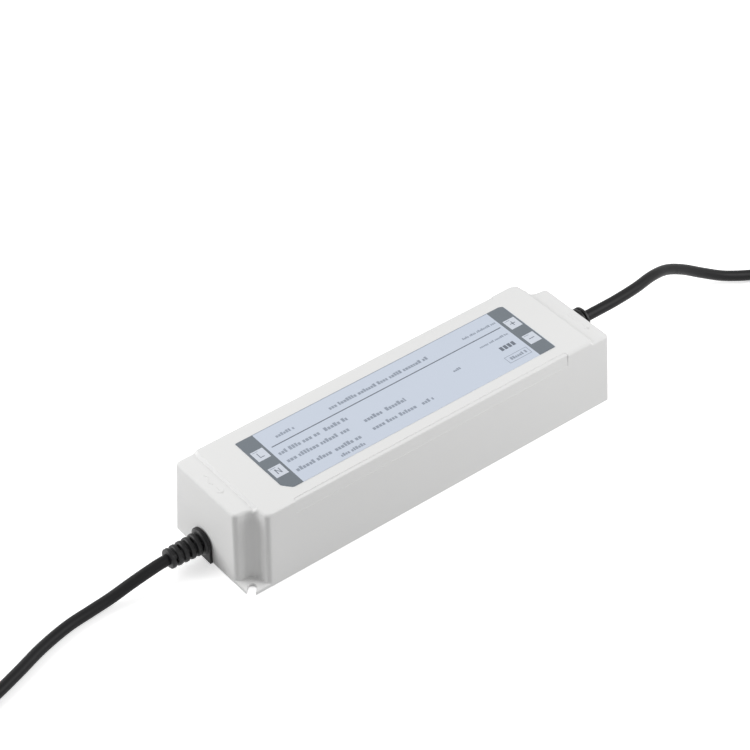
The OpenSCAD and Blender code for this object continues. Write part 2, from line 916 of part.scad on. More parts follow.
chip_lift = 0.1;
chip_leg = [0.4, chip_size[1] + 2, 0.25];
chip_pitch = 1.27;
module control_chip() {
    color("#282828")
        translate([chip_at[0], chip_at[1], board_top]) {
            translate([-chip_size[0] / 2, -chip_size[1] / 2, chip_lift])
                cube(chip_size);
            for (i = [-1.5 : 1 : 1.5])
                translate([i * chip_pitch - chip_leg[0] / 2, -chip_leg[1] / 2, 0])
                    cube(chip_leg);
        }
}

// A flat leg that comes out of a package's side towards +X and turns down through the board.
module bent_leg() {
    half = leg_sheet / 2;
    foot = -board_thickness - pin_below;
    rotate([90, 0, 0])
        linear_extrude(leg_width, center = true)
            polygon([
                [-2 * leg_out, leg_rise], [half, leg_rise], [half, foot],
                [-half, foot], [-half, leg_rise - leg_sheet], [-2 * leg_out, leg_rise - leg_sheet]
            ]);
}

module optocoupler() {
    middle = board_top + seat + coupler_size[2] / 2;
    color("#e8e8e0") {
        translate([coupler_at[0], coupler_at[1], middle])
            cube(coupler_size, center = true);
        for (p = coupler_pins)
            translate([p[0], p[1], board_top])
                rotate([0, 0, p[1] < coupler_at[1] ? -90 : 90])
                    bent_leg();
    }
}

// A sheet-metal heatsink that stands along the board's edge, with two upper holes.
heatsink_hole = 2;
heatsink_hole_inset = 2;
module heatsink(at) {
    color("silver")
        difference() {
            translate([at[0] - heatsink_length / 2, at[1] - heatsink_thickness, board_top + heatsink_lift])
                cube([heatsink_length, heatsink_thickness, heatsink_height]);
            for (x = [-1, 1])
                translate([
                    at[0] + x * (heatsink_length / 2 - heatsink_hole_inset), at[1],
                    board_top + heatsink_height - heatsink_hole_inset
                ])
                    rotate([90, 0, 0])
                        cylinder(d = heatsink_hole, h = 3 * heatsink_thickness, center = true);
            children();
        }
}
module screw_bore(x, at) {
    translate([x, at[1] - heatsink_thickness / 2, board_top + screw_height])
        rotate([90, 0, 0])
            cylinder(d = screw_hole, h = heatsink_thickness + 2 * cut, center = true);
}
module primary_heatsink() {
    heatsink(primary_heatsink_at)
        screw_bore(primary_transistor_at, primary_heatsink_at);
}
module secondary_heatsink() {
    rotate([0, 0, 180])
        heatsink([-secondary_heatsink_at[0], secondary_heatsink_at[1]])
            screw_bore(-output_rectifier_at, secondary_heatsink_at);
}

// A tabbed power package that faces away from the heatsink's inner face.
module power_package(x, at) {
    face = at[1] - heatsink_thickness - pad_gap;
    color("#242424") {
        difference() {
            translate([x - transistor_width / 2, face - tab_thickness, board_top + transistor_lift])
                cube([transistor_width, tab_thickness, transistor_height]);
            translate([x, face, board_top + screw_height])
                rotate([90, 0, 0])
                    cylinder(d = tab_hole, h = 4 * tab_thickness, center = true);
        }
        translate([x - transistor_width / 2, face - transistor_depth, board_top + transistor_lift])
            cube([transistor_width, transistor_depth, transistor_body]);
    }
}
module primary_transistor() {
    power_package(primary_transistor_at, primary_heatsink_at);
    color("#242424")
        pins(primary_pins, board_top + transistor_lift + pin_stub);
}
module output_rectifier() {
    rotate([0, 0, 180])
        power_package(-output_rectifier_at, secondary_heatsink_at);
    color("#242424")
        pins(secondary_pins, board_top + transistor_lift + pin_stub);
}

module heatsink_screw(x, at) {
    grip = tab_thickness + pad_gap + heatsink_thickness;
    translate([x, at[1] - grip, board_top + screw_height])
        rotate([90, 0, 0]) {
            difference() {
                cylinder(d = screw_head, h = screw_head_height);
                translate([0, 0, screw_head_height - screw_recess_depth])
                    cylinder(d = screw_recess, h = screw_recess_depth + cut, $fn = 6);
            }
            translate([0, 0, -grip])
                cylinder(d = screw_diameter, h = grip + screw_end);
        }
}
module heatsink_screws() {
    color("lightgray") {
        heatsink_screw(primary_transistor_at, primary_heatsink_at);
        rotate([0, 0, 180])
            heatsink_screw(-output_rectifier_at, secondary_heatsink_at);
    }
}

// The transformer: two E halves round a bobbin that stands on its pin rails.
core_base = board_top + bobbin_lift;
window_base = core_base + core_leg;
window_top = core_base + core_height - core_leg;
module core_half() {
    half = core_height / 2 - core_split / 2;
    difference() {
        translate([-core_length / 2, -core_depth / 2, 0])
            cube([core_length, core_depth, half]);
        for (x = [core_leg, core_leg - core_length / 2])
            translate([x, -core_depth, core_leg])
                cube([core_length / 2 - 2 * core_leg, 2 * core_depth, half]);
    }
}
module transformer_core() {
    color("#3c3c3c")
        translate([transformer_at[0], transformer_at[1], core_base]) {
            core_half();
            translate([0, 0, core_height])
                mirror([0, 0, 1])
                    core_half();
        }
}

bobbin_hole = [core_leg + gap, core_depth / 2 + gap];
bobbin_side = core_length / 2 - core_leg - gap;
module block_between(x, y, from, to) {
    translate([-x, -y, from])
        cube([2 * x, 2 * y, to - from]);
}
module transformer_bobbin() {
    tube_x = bobbin_hole[0] + bobbin_wall;
    tube_y = bobbin_hole[1] + bobbin_wall;
    bottom = window_base + gap;
    top = window_top - gap;
    color("#1c1c1c")
        translate([transformer_at[0], transformer_at[1], 0]) {
            difference() {
                union() {
                    block_between(tube_x, tube_y, bottom, top);
                    block_between(bobbin_side, bobbin_reach, bottom, bottom + flange_plate);
                    block_between(bobbin_side, bobbin_reach, top - flange_plate, top);
                    for (side = [0, 180])
                        rotate([0, 0, side])
                            translate([-bobbin_side, bobbin_hole[1], board_top])
                                cube([2 * bobbin_side, bobbin_reach - bobbin_hole[1], bottom - board_top]);
                }
                block_between(bobbin_hole[0], bobbin_hole[1], bottom - cut, top + cut);
            }
        }
    color("silver")
        pins(bobbin_pins, board_top + pin_stub);
}
module transformer_winding() {
    inside = bobbin_wall + gap;
    color("goldenrod")
        translate([transformer_at[0], transformer_at[1], 0])
            difference() {
                block_between(
                    bobbin_side - coil_inset, coil_reach,
                    window_base + 2 * gap + flange_plate, window_top - 2 * gap - flange_plate
                );
                block_between(
                    bobbin_hole[0] + inside, bobbin_hole[1] + inside,
                    window_base, window_top
                );
            }
}

module output_capacitors() {
    color("#20304a") {
        for (p = filter_at)
            translate([p[0], p[1], board_top + seat])
                can(filter_diameter, filter_height);
        pins(filter_pins, board_top + pin_stub);
    }
}

inductor_base = board_top + seat;
module inductor_core() {
    r = inductor_diameter / 2;
    w = inductor_waist / 2;
    color("#444444") {
        translate([inductor_at[0], inductor_at[1], inductor_base])
            rotate_extrude()
                polygon([
                    [0, 0], [r, 0], [r, inductor_flange], [w, inductor_flange],
                    [w, inductor_height - inductor_flange], [r, inductor_height - inductor_flange],
                    [r, inductor_height], [0, inductor_height]
                ]);
        pins(inductor_pins, inductor_base + pin_stub);
    }
}
inductor_turns = 7;
module inductor_winding() {
    r = inductor_diameter / 2 - 0.5;
    w = inductor_waist / 2 + gap;
    low = inductor_flange + gap;
    step = (inductor_height - 2 * low) / inductor_turns;
    color("peru")
        translate([inductor_at[0], inductor_at[1], inductor_base + low])
            rotate_extrude()
                polygon(concat(
                    [for (i = [0 : inductor_turns - 1]) each [
                        [r - 0.3, i * step], [r, (i + 0.3) * step], [r, (i + 0.7) * step]
                    ]],
                    [[r - 0.3, inductor_turns * step], [w, inductor_turns * step], [w, 0]]
                ));
}

// Wires from the ends of the two sheaths to the board
input_pads = [for (y = [-3, 3]) [input_end + 5.5, input_side + y]];
output_pads = [for (y = [-3, 3]) [output_end - 2.5, y - output_side]];
function inner_input_route(k) =
    let (
        start = input_route[0] + [0, (2 * k - 1) * pair_spread, 0],
        pad = input_pads[k]
    )
    [
        start, start + [wire_start, 0, 0],
        [pad[0] - 7.8, start[1] + (2 * k - 1) * 0.4, input_height + 0.5],
        [pad[0] - 6.1, start[1] + (2 * k - 1) * 1.2, input_height + 1.9],
        [pad[0] - 4.3, pad[1] - (2 * k - 1) * 0.4, input_height + 3.2],
        [pad[0] - 2.3, pad[1], input_height + 3.1],
        [pad[0] - 0.5, pad[1], input_height + 1.8], [pad[0], pad[1], board_top + seat]
    ];
function inner_output_route(k) =
    let (
        start = output_route[0] + [0, (2 * k - 1) * pair_spread, 0],
        pad = output_pads[k]
    )
    [
        start, start - [wire_start, 0, 0],
        [start[0] - 4.6, pad[1] - (2 * k - 1) * 0.8, output_height - 1.6],
        [start[0] - 5.8, pad[1], output_height - 5],
        [pad[0] + 1.6, pad[1], board_top + 6], [pad[0] + 0.4, pad[1], board_top + 3],
        [pad[0], pad[1], board_top + seat]
    ];
module inner_live_wire() {
    color("saddlebrown")
        tube(inner_input_route(0), wire_diameter, wire_sides);
}
module inner_neutral_wire() {
    color("royalblue")
        tube(inner_input_route(1), wire_diameter, wire_sides);
}
module inner_positive_wire() {
    color("firebrick")
        tube(inner_output_route(0), wire_diameter, wire_sides);
}
module inner_negative_wire() {
    color("#303030")
        tube(inner_output_route(1), wire_diameter, wire_sides);
}

// Potting: it fills the case above the plate, apart from the board and what stands on it.
module box_room(at, size, top) {
    translate([at[0] - size[0] / 2 - gap, at[1] - size[1] / 2 - gap, board_bottom])
        cube([size[0] + 2 * gap, size[1] + 2 * gap, top + gap - board_bottom]);
}
module round_room(at, diameter, top) {
    translate([at[0], at[1], board_bottom])
        cylinder(d = diameter + 2 * gap, h = top + gap - board_bottom);
}
module disc_room(at, diameter, thickness) {
    box_room(at, [thickness, diameter], board_top + disc_lift + diameter);
}
module package_room(x, at) {
    box_room([at[0], at[1] - heatsink_thickness / 2], [heatsink_length, heatsink_thickness],
        board_top + heatsink_lift + heatsink_height);
    box_room([x, at[1] - heatsink_thickness - transistor_depth / 2], [transistor_width, transistor_depth],
        board_top + transistor_lift + transistor_height);
}
module inner_rooms() {
    block = [board_length + 2 * gap, board_width + 2 * gap];
    translate([-block[0] / 2, -block[1] / 2, plate_thickness - cut])
        cube([block[0], block[1], board_top + gap - plate_thickness + cut]);
    round_room(fuse_at, fuse_diameter, board_top + seat + fuse_height);
    disc_room(varistor_at, varistor_diameter, disc_thickness);
    disc_room(thermistor_at, thermistor_diameter, disc_thickness);
    disc_room(safety_at, safety_diameter, safety_thickness);
    box_room(line_at, line_size, board_top + seat + line_size[2]);
    winding = 2 * (winding_thickness + winding_ridge + gap);
    round_room(choke_at, choke_diameter + winding, choke_base + choke_height + winding / 2);
    for (p = choke_pins)
        round_room(p, pin_diameter, choke_pin_top);
    box_room(bridge_at, bridge_size, board_top + seat + bridge_size[2]);
    translate([bulk_at[0] - gap, bulk_at[1], bulk_axis])
        rotate([0, 90, 0])
            cylinder(d = bulk_diameter + 2 * gap, h = bulk_length + 2 * gap);
    box_room(
        bulk_at + [(bulk_length - bulk_pin_reach) / 2, 0],
        [bulk_length + bulk_pin_reach, bulk_diameter - 4], bulk_axis + pin_stub
    );
    box_room(
        snubber_at, [snubber_length + 2 * snubber_lead + pin_diameter, snubber_diameter],
        board_top + seat + snubber_diameter
    );
    box_room(chip_at, [chip_size[0], chip_leg[1]], board_top + chip_lift + chip_size[2]);
    box_room(coupler_at, coupler_size + [0, 2, 0], board_top + seat + coupler_size[2]);
    package_room(primary_transistor_at, primary_heatsink_at);
    rotate([0, 0, 180])
        package_room(-output_rectifier_at, [-secondary_heatsink_at[0], secondary_heatsink_at[1]]);
    box_room(transformer_at, [core_length, core_depth], core_base + core_height);
    box_room(transformer_at, [2 * bobbin_side, 2 * bobbin_reach], window_top);
    for (p = filter_at)
        round_room(p, filter_diameter, board_top + seat + filter_height);
    round_room(inductor_at, inductor_diameter, inductor_base + inductor_height);
}
module lead_rooms() {
    room = lead_diameter + 2 * gap;
    translate([input_route[0][0] + gap, input_side, input_height])
        rotate([0, -90, 0])
            cylinder(d = room, h = half_length);
    translate([-half_length, input_side, input_height])
        arch(flange_radius + gap, input_height, neck_length + flange_thickness + gap);
    translate([output_route[0][0] - gap, -output_side, output_height])
        rotate([0, 90, 0])
            cylinder(d = room, h = half_length);
    translate([output_face - wall_depth - barb_length - gap, -output_side, output_height])
        rotate([0, 90, 0])
            cylinder(r = grommet_neck + barb_rise + gap, h = half_length);
    for (k = [0, 1]) {
        tube(inner_input_route(k), wire_diameter + 2 * gap, wire_sides);
        tube(inner_output_route(k), wire_diameter + 2 * gap, wire_sides);
    }
}
module potting() {
    color("#3a3a3a")
        difference() {
            inner_form(wall + gap, plate_thickness, block_height - wall - potting_gap);
            inner_rooms();
            lead_rooms();
        }
}

housing();
bottom_plate();
rating_label();
input_strain_relief();
output_grommet();
input_cable();
output_cable();
input_live_wire();
input_neutral_wire();
input_strands();
output_positive_wire();
output_negative_wire();
output_strands();
potting();
inner_live_wire();
inner_neutral_wire();
inner_positive_wire();
inner_negative_wire();
insulating_sheet();
circuit_board();
fuse();
varistor();
thermistor();
line_capacitor();
choke_core();
choke_windings();
bridge_rectifier();
bulk_capacitor();
primary_heatsink();
primary_transistor();
secondary_heatsink();
output_rectifier();
heatsink_screws();
snubber_resistor();
control_chip();
optocoupler();
safety_capacitor();
transformer_core();
transformer_bobbin();
transformer_winding();
output_capacitors();
inductor_core();
inductor_winding();
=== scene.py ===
"""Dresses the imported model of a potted, waterproof power supply.

Each piece is made by its own operator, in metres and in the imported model's frame. The shapes
are worked out in millimetres and scaled once, where their mesh is made.
"""

import math
import random
from types import SimpleNamespace

import bmesh
import bpy
from bpy.props import FloatProperty, FloatVectorProperty, IntProperty, PointerProperty
from mathutils import Matrix, Vector
from mathutils.geometry import delaunay_2d_cdt


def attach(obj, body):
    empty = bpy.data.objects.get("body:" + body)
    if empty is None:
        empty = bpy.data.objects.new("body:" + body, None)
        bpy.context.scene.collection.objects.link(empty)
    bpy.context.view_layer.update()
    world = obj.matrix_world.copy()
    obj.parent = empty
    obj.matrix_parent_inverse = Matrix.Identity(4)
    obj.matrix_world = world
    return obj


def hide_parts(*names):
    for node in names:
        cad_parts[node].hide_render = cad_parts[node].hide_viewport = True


bl_info = {
    "name": "Waterproof power supply",
    "version": (1, 0, 0),
    "blender": (4, 5, 0),
    "location": "3D View > Sidebar > Power supply",
    "description": "Makes the finished look of a potted power supply with two fixed leads",
    "category": "Object",
}

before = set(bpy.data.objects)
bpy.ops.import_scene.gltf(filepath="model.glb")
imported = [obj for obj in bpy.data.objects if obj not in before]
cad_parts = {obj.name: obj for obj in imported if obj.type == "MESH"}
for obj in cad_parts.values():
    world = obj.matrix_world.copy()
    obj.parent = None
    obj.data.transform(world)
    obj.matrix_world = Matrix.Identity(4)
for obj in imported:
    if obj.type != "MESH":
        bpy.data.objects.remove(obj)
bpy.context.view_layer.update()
BODY = "root"
MM = 0.001
MERGE = 0.0005 * MM
WHITE = (1, 1, 1, 1)


# Sizes and colours that a user would change


def length(name, description, default):
    return FloatProperty(name=name, description=description, default=default * MM, unit="LENGTH", precision=4)


def colour(name, description, default):
    return FloatVectorProperty(
        name=name, description=description, default=default, size=3, subtype="COLOR", min=0, max=1
    )


def power(name, description, default):
    return FloatProperty(name=name, description=description, default=default, min=0, unit="POWER")


class CaseSettings(bpy.types.PropertyGroup):
    length: length("Length", "Case length over its foot", 162.5)
    width: length("Width", "Case width over its foot", 44)
    height: length("Height", "Height of the raised middle", 32)
    wall: length("Wall", "Wall thickness", 1.8)
    side_draft: length("Side draft", "How far each long wall leans in at the top", 0.8)
    draft: length("End draft", "How far each end wall leans in at the top", 1.2)
    corner: length("Plain corners", "Rounding of the two plain upright corners at the top", 1.5)
    foot_corner: length("Foot corners", "Rounding of the two plain upright corners at the foot", 0.7)
    edge: length("Top edge", "Rounding of the top edge", 1.1)
    insert_edge: length("Strip edge", "Rounding of the long top edges between the fine lines", 0.35)
    insert_end: length("Strip end", "Distance of the fine lines from the case's ends", 20.8)
    insert_top: length("Strip on top", "Distance of the fine line from the wall, on the top", 1.9)
    insert_depth: length("Strip depth", "Depth of the strip in the top", 0.16)
    insert_inset: length("Strip inset", "Depth of the strip in the wall", 0.26)
    insert_foot: length("Strip foot", "Depth of the strip at its lower edge on a long wall", 0.08)
    insert_side: length("Strip on side", "Distance of the fine line from the top, on the wall", 5.2)
    block_length: length("End block", "Length of each lower end", 9.4)
    block_drop: length("Drop", "How far the ends lie below the middle", 1.1)
    block_slope: length("Slope", "Length of the slope between the two heights", 1.1)
    raised_corner: length("Raised corner", "Plan rounding of the raised middle's plain corners", 3)
    hollow_width: length("Hollow", "Side of the hollowed corner over its ear", 7.5)
    hollow_radius: length("Hollow radius", "Rounding inside the hollowed corner", 4)
    lip: length("Lip", "Rounding where the hollow meets the walls", 2.0)
    ear_thickness: length("Ear", "Thickness of the screw ears", 1.5)
    ear_cove: length("Ear cove", "Cove between ear and hollow", 0.1)
    slot_width: length("Slot", "Width of the screw slots", 2.9)
    slot_inset: length("Slot depth", "Distance of the slot's round end from the corner", 4.4)
    tint: colour("Case colour", "Colour of the case's plastic", (0.8, 0.8, 0.795))
    plate_tint: colour("Plate colour", "Colour of the bottom plate", (0.66, 0.66, 0.65))


class LabelSettings(bpy.types.PropertyGroup):
    length: length("Length", "Label length", 119.4)
    width: length("Width", "Label width", 29.6)
    thickness: length("Thickness", "Label thickness", 0.15)
    cut: length("Cut corner", "Size of the one large cut corner", 3.5)
    small_cut: length("Small corner", "Size of the opposite corner's rounding", 0.75)
    shift_x: length("Shift along", "The label's middle from the case's, along it", 0.15)
    shift_y: length("Shift across", "The label's middle from the case's, across it", -0.2)
    band: length("Band", "Width of the grey end bands", 7.2)
    field_tint: colour("Field", "Colour of the label's middle", (0.595, 0.65, 0.745))
    band_tint: colour("Bands", "Colour of the label's end bands", (0.19, 0.215, 0.24))
    print_tint: colour("Print", "Colour of the printed marks", (0.33, 0.37, 0.44))
    box_tint: colour("Squares", "Colour of the squares on the bands", (0.66, 0.7, 0.77))


class LeadSettings(bpy.types.PropertyGroup):
    lead: length("Lead", "Diameter of the two leads", 4.2)
    wire: length("Wire", "Diameter of the wires inside the leads", 1.9)
    strand_bundle: length("Bare end", "Diameter of a wire's bare, tinned end", 1.2)
    sides: IntProperty(name="Sides", description="Flat sides round a lead", default=28, min=8, max=64)
    rib_radius: length("Rib radius", "Radius of the strain relief's ribs", 4)
    rib_pitch: length("Rib pitch", "Distance between two ribs", 2.6)
    rib_count: IntProperty(name="Ribs", description="Ribs on the strain relief", default=5, min=2, max=12)
    web_span: FloatProperty(
        name="Web span", description="Degrees round the lead that each web between two ribs takes up",
        default=128.0, min=20, max=170,
    )
    flange_radius: length("Flange", "Radius of the strain relief's arch", 5.35)
    grommet_radius: length("Grommet", "Radius of the grommet's rims", 4.6)
    sheath_tint: colour("Sheath", "Colour of the lead's sheath", (0.0065, 0.0065, 0.007))
    seal_tint: colour("Seals", "Colour of strain relief and grommet", (0.006, 0.006, 0.0065))
    # The flank colour is a painted glint: the pale grey stands in for light on the ribs' faces towards the
    # lead's free end.
    flank_tint: colour("Flanks", "Colour of the strain relief's painted_glint flank faces", (0.45, 0.45, 0.452))


class StageSettings(bpy.types.PropertyGroup):
    sky: FloatProperty(name="Sky", description="Strength of the even white light", default=0.35, min=0)
    key: power("Key lamp", "Power of the lamp at the back left", 2.4)
    fill: power("Fill lamp", "Power of the lamp at the front right", 2.25)
    floor_tint: colour("Floor", "Colour of the floor", (0.57, 0.57, 0.57))


def in_mm(group):
    """A settings group with its lengths in millimetres."""
    values = {}
    for p in group.bl_rna.properties:
        if p.identifier in ("rna_type", "name"):
            continue
        value = getattr(group, p.identifier)
        if p.type == "FLOAT" and p.unit == "LENGTH":
            value = round(value / MM, 5)
        elif p.type == "FLOAT" and p.is_array:
            value = tuple(value)
        values[p.identifier] = value
    return SimpleNamespace(**values)


# Meshes


def link_new(name, data):
    obj = bpy.data.objects.new(name, data)
    bpy.context.scene.collection.objects.link(obj)
    return obj


def mesh_object(name, points, faces, materials=()):
    """An object at the origin whose mesh is given in millimetres."""
    mesh = bpy.data.meshes.new(name)
    mesh.from_pydata([[c * MM for c in p] for p in points], [], faces)
    for material in materials:
        mesh.materials.append(material)
    return link_new(name, mesh)


def close_up(obj, sharp=32):
    """The object with doubles merged, its faces turned outwards and its sharp edges marked."""
    bm = bmesh.new()
    bm.from_mesh(obj.data)
    bmesh.ops.remove_doubles(bm, verts=bm.verts, dist=MERGE)
    bmesh.ops.dissolve_degenerate(bm, edges=bm.edges, dist=MERGE)
    bmesh.ops.recalc_face_normals(bm, faces=bm.faces)
    for face in bm.faces:
        face.smooth = True
    for edge in bm.edges:
        edge.smooth = edge.is_manifold and edge.calc_face_angle(0) < math.radians(sharp)
    bm.to_mesh(obj.data)
    bm.free()
    return obj


def applied(obj):
    """The object with its modifiers worked into a plain mesh."""
    depsgraph = bpy.context.evaluated_depsgraph_get()
    made = bpy.data.meshes.new_from_object(
        obj.evaluated_get(depsgraph), preserve_all_data_layers=True, depsgraph=depsgraph
    )
    if obj.type == "MESH":
        obj.modifiers.clear()
        obj.data = made
        return obj
    name = obj.name
    bpy.data.objects.remove(obj)
    return link_new(name, made)


def flat_faces_first(obj):
    """Normals that keep the big flat faces flat beside their roundings."""
    modifier = obj.modifiers.new("weighted", "WEIGHTED_NORMAL")
    modifier.keep_sharp = True
    return applied(obj)


def combine(target, others, operation):
    """A boolean of each of the others with the target, applied."""
    for other in others:
        modifier = target.modifiers.new("cut", "BOOLEAN")
        modifier.operation = operation
        modifier.solver = "EXACT"
        modifier.object = other
        applied(target)
        bpy.data.objects.remove(other)


def joined(name, objects):
    """Several mesh objects as one, with their materials."""
    bm = bmesh.new()
    slots = []
    for obj in objects:
        own = list(obj.data.materials)
        slots += [material for material in own if material not in slots]
        start = len(bm.faces)
        bm.from_mesh(obj.data)
        bm.faces.ensure_lookup_table()
        for face in bm.faces[start:] if own else ():
            face.material_index = slots.index(own[face.material_index])
        bpy.data.objects.remove(obj)
    made = mesh_object(name, [], [], slots)
    bm.to_mesh(made.data)
    bm.free()
    return made


def dressed(obj, node):
    """Rides the finished piece on the body and hides the CAD part that it stands for."""
    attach(obj, BODY)
    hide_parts(node)
    return obj


def arc(centre, radius, start, end, steps):
    """Places along an arc between two angles in degrees."""
    angles = [math.radians(start + (end - start) * k / steps) for k in range(steps + 1)]
    return [(centre[0] + radius * math.cos(a), centre[1] + radius * math.sin(a)) for a in angles]


def ring_faces(first, second, count):
    """Quads between two rings that start at these point numbers."""
    pairs = [(i, (i + 1) % count) for i in range(count)]
    return [(first + i, first + j, second + j, second + i) for i, j in pairs]


def shell(rings, start=0):
    """Points of rings of equally many points, and the quads from each ring to the next."""
    count = len(rings[0])
    faces = []
    for r in range(len(rings) - 1):
        faces += ring_faces(start + r * count, start + (r + 1) * count, count)
    return [p for ring in rings for p in ring], faces


def fan(points, first, count):
    """Adds a ring's middle to the points and gives the triangles from it to the ring."""
    ring, middle = points[first : first + count], len(points)
    points.append([sum(p[k] for p in ring) / count for k in range(3)])
    return [(first + i, first + (i + 1) % count, middle) for i in range(count)]


def loft(name, rings, materials=(), ends="fans"):
    """A skin through rings. Its ends are fans about their middles, flat faces, or joined to each other."""
    points, faces = shell(rings)
    count = len(rings[0])
    last = len(points) - count
    if ends == "joined":
        faces += ring_faces(last, 0, count)
    elif ends == "flat":
        faces += [tuple(range(first, first + count)) for first in (0, last)]
    else:
        faces += fan(points, 0, count) + fan(points, last, count)
    return mesh_object(name, points, faces, materials)


def lathe(name, profile, materials=(), sides=48, span=360, start=0):
    """A profile of (along, radius) turned about the X axis."""
    full = span == 360
    angles = [math.radians(start + span * k / sides) for k in range(sides if full else sides + 1)]
    rings = [[(x, r * math.cos(a), r * math.sin(a)) for x, r in profile] for a in angles]
    return loft(name, rings, materials, "joined" if full else "fans")


def moved(obj, place, turn=0):
    """Turns the mesh about Z by degrees and moves it to a place in millimetres."""
    obj.data.transform(Matrix.Translation(Vector(place) * MM) @ Matrix.Rotation(math.radians(turn), 4, "Z"))
    return obj


# Nodes


def feed(tree, node, inputs):
    """Sets inputs of a node, each to a constant or to another node's output."""
    for key, value in inputs.items():
        if isinstance(value, bpy.types.NodeSocket):
            tree.links.new(value, node.inputs[key])
        else:
            node.inputs[key].default_value = value
    return node


def add(tree, kind, inputs=None, **settings):
    """A new node with its settings and inputs."""
    node = tree.nodes.new(kind)
    for name, value in settings.items():
        setattr(node, name, value)
    return feed(tree, node, inputs or {})


def new_group(name, kind, inputs, outputs):
    """An empty node group, the sockets that it is given and the node that it hands out by."""
    group = bpy.data.node_groups.new(name, kind + "NodeTree")
    for way, sockets in (("INPUT", inputs), ("OUTPUT", outputs)):
        for label, (socket_kind, *default) in sockets.items():
            socket = group.interface.new_socket(label, in_out=way, socket_type="NodeSocket" + socket_kind)
            if default:
                socket.default_value = default[0]
    return group, add(group, "NodeGroupInput").outputs, add(group, "NodeGroupOutput")


def shared(maker):
    """The node group with its maker's name, made when it is first asked for."""
    return bpy.data.node_groups.get(maker.__name__) or maker(maker.__name__)


def maths(tree, operation, *values, clamp=False):
    inputs = dict(enumerate(values))
    return add(tree, "ShaderNodeMath", inputs, operation=operation, use_clamp=clamp).outputs[0]


def ranged(tree, *values):
    """A value taken from a low and a high end to two new ones."""
    return add(tree, "ShaderNodeMapRange", dict(enumerate(values))).outputs[0]


def noise(tree, vector, scale, detail=3.0, rough=0.55):
    inputs = {"Vector": vector, "Scale": scale, "Detail": detail, "Roughness": rough}
    return add(tree, "ShaderNodeTexNoise", inputs).outputs["Fac"]


def object_place(tree, stretch=None):
    """Object coordinates, stretched if asked."""
    place = add(tree, "ShaderNodeTexCoord").outputs["Object"]
    if stretch is None:
        return place
    return add(tree, "ShaderNodeVectorMath", {0: place, 1: stretch}, operation="MULTIPLY").outputs[0]


def mixed(tree, factor, *colours):
    """Two colours mixed by a factor."""
    inputs = {6 + i: (*c, 1.0) if isinstance(c, tuple) else c for i, c in enumerate(colours)}
    return add(tree, "ShaderNodeMix", {0: factor, **inputs}, data_type="RGBA").outputs[2]


def moulded_grain(name):
    """Fine spark-eroded grain: a patchy shade and a bump height."""
    inputs = {"Scale": ("Float", 2500.0), "Patches": ("Float", 60.0)}
    group, given, out = new_group(name, "Shader", inputs, {"Shade": ["Float"], "Height": ["Float"]})
    place = object_place(group)
    fine = noise(group, place, given["Scale"], 2.0)
    coarse = noise(group, place, maths(group, "MULTIPLY", given["Scale"], 0.31), 2.0)
    patches = ranged(group, noise(group, place, given["Patches"]), 0.35, 0.65, 0.0, 0.7)
    shade = maths(group, "ADD", patches, ranged(group, fine, 0.3, 0.7, 0.0, 0.3), clamp=True)
    shares = maths(group, "MULTIPLY", fine, 0.65), maths(group, "MULTIPLY", coarse, 0.35)
    feed(group, out, {"Shade": shade, "Height": maths(group, "ADD", *shares)})
    return group


def handling_marks(name):
    """Rubbed patches and short hair scratches left by handling, as one mask."""
    inputs = {"Size": ("Float", 45.0), "Scratches": ("Float", 0.35)}
    group, given, out = new_group(name, "Shader", inputs, {"Mask": ["Float"]})
    rubbed = ranged(group, noise(group, object_place(group), given["Size"], 4.0), 0.42, 0.68)
    lines = [
        ranged(group, noise(group, object_place(group, stretch), 90.0, 1.0, 0.3), 0.685, 0.72)
        for stretch in ((1.0, 22.0, 9.0), (19.0, 1.6, 13.0))
    ]
    scratched = maths(group, "MULTIPLY", maths(group, "MAXIMUM", *lines), given["Scratches"])
    mask = maths(group, "ADD", maths(group, "MULTIPLY", rubbed, 0.6), scratched, clamp=True)
    feed(group, out, {"Mask": mask})
    return group


def wound_bands(name):
    """Even bands along a stretched place, as wound wire, tape or brushed metal has."""
    inputs = {
        "Stretch": ("Vector", (1.0, 0.0, 0.0)), "Scale": ("Float", 300.0), "Unevenness": ("Float", 0.3),
    }
    group, given, out = new_group(name, "Shader", inputs, {"Mask": ["Float"], "Height": ["Float"]})
    place = object_place(group, given["Stretch"])
    inputs = {"Vector": place, "Scale": given["Scale"], "Distortion": 0.4}
    wave = add(group, "ShaderNodeTexWave", inputs, bands_direction="DIAGONAL").outputs["Fac"]
    soft = maths(group, "SUBTRACT", noise(group, object_place(group), 900.0, 2.0), 0.5)
    uneven = maths(group, "MULTIPLY", soft, given["Unevenness"])
    feed(group, out, {"Mask": maths(group, "ADD", wave, uneven, clamp=True), "Height": wave})
    return group


def placed_group(tree, maker, **values):
    return add(tree, "ShaderNodeGroup", values, node_tree=shared(maker)).outputs


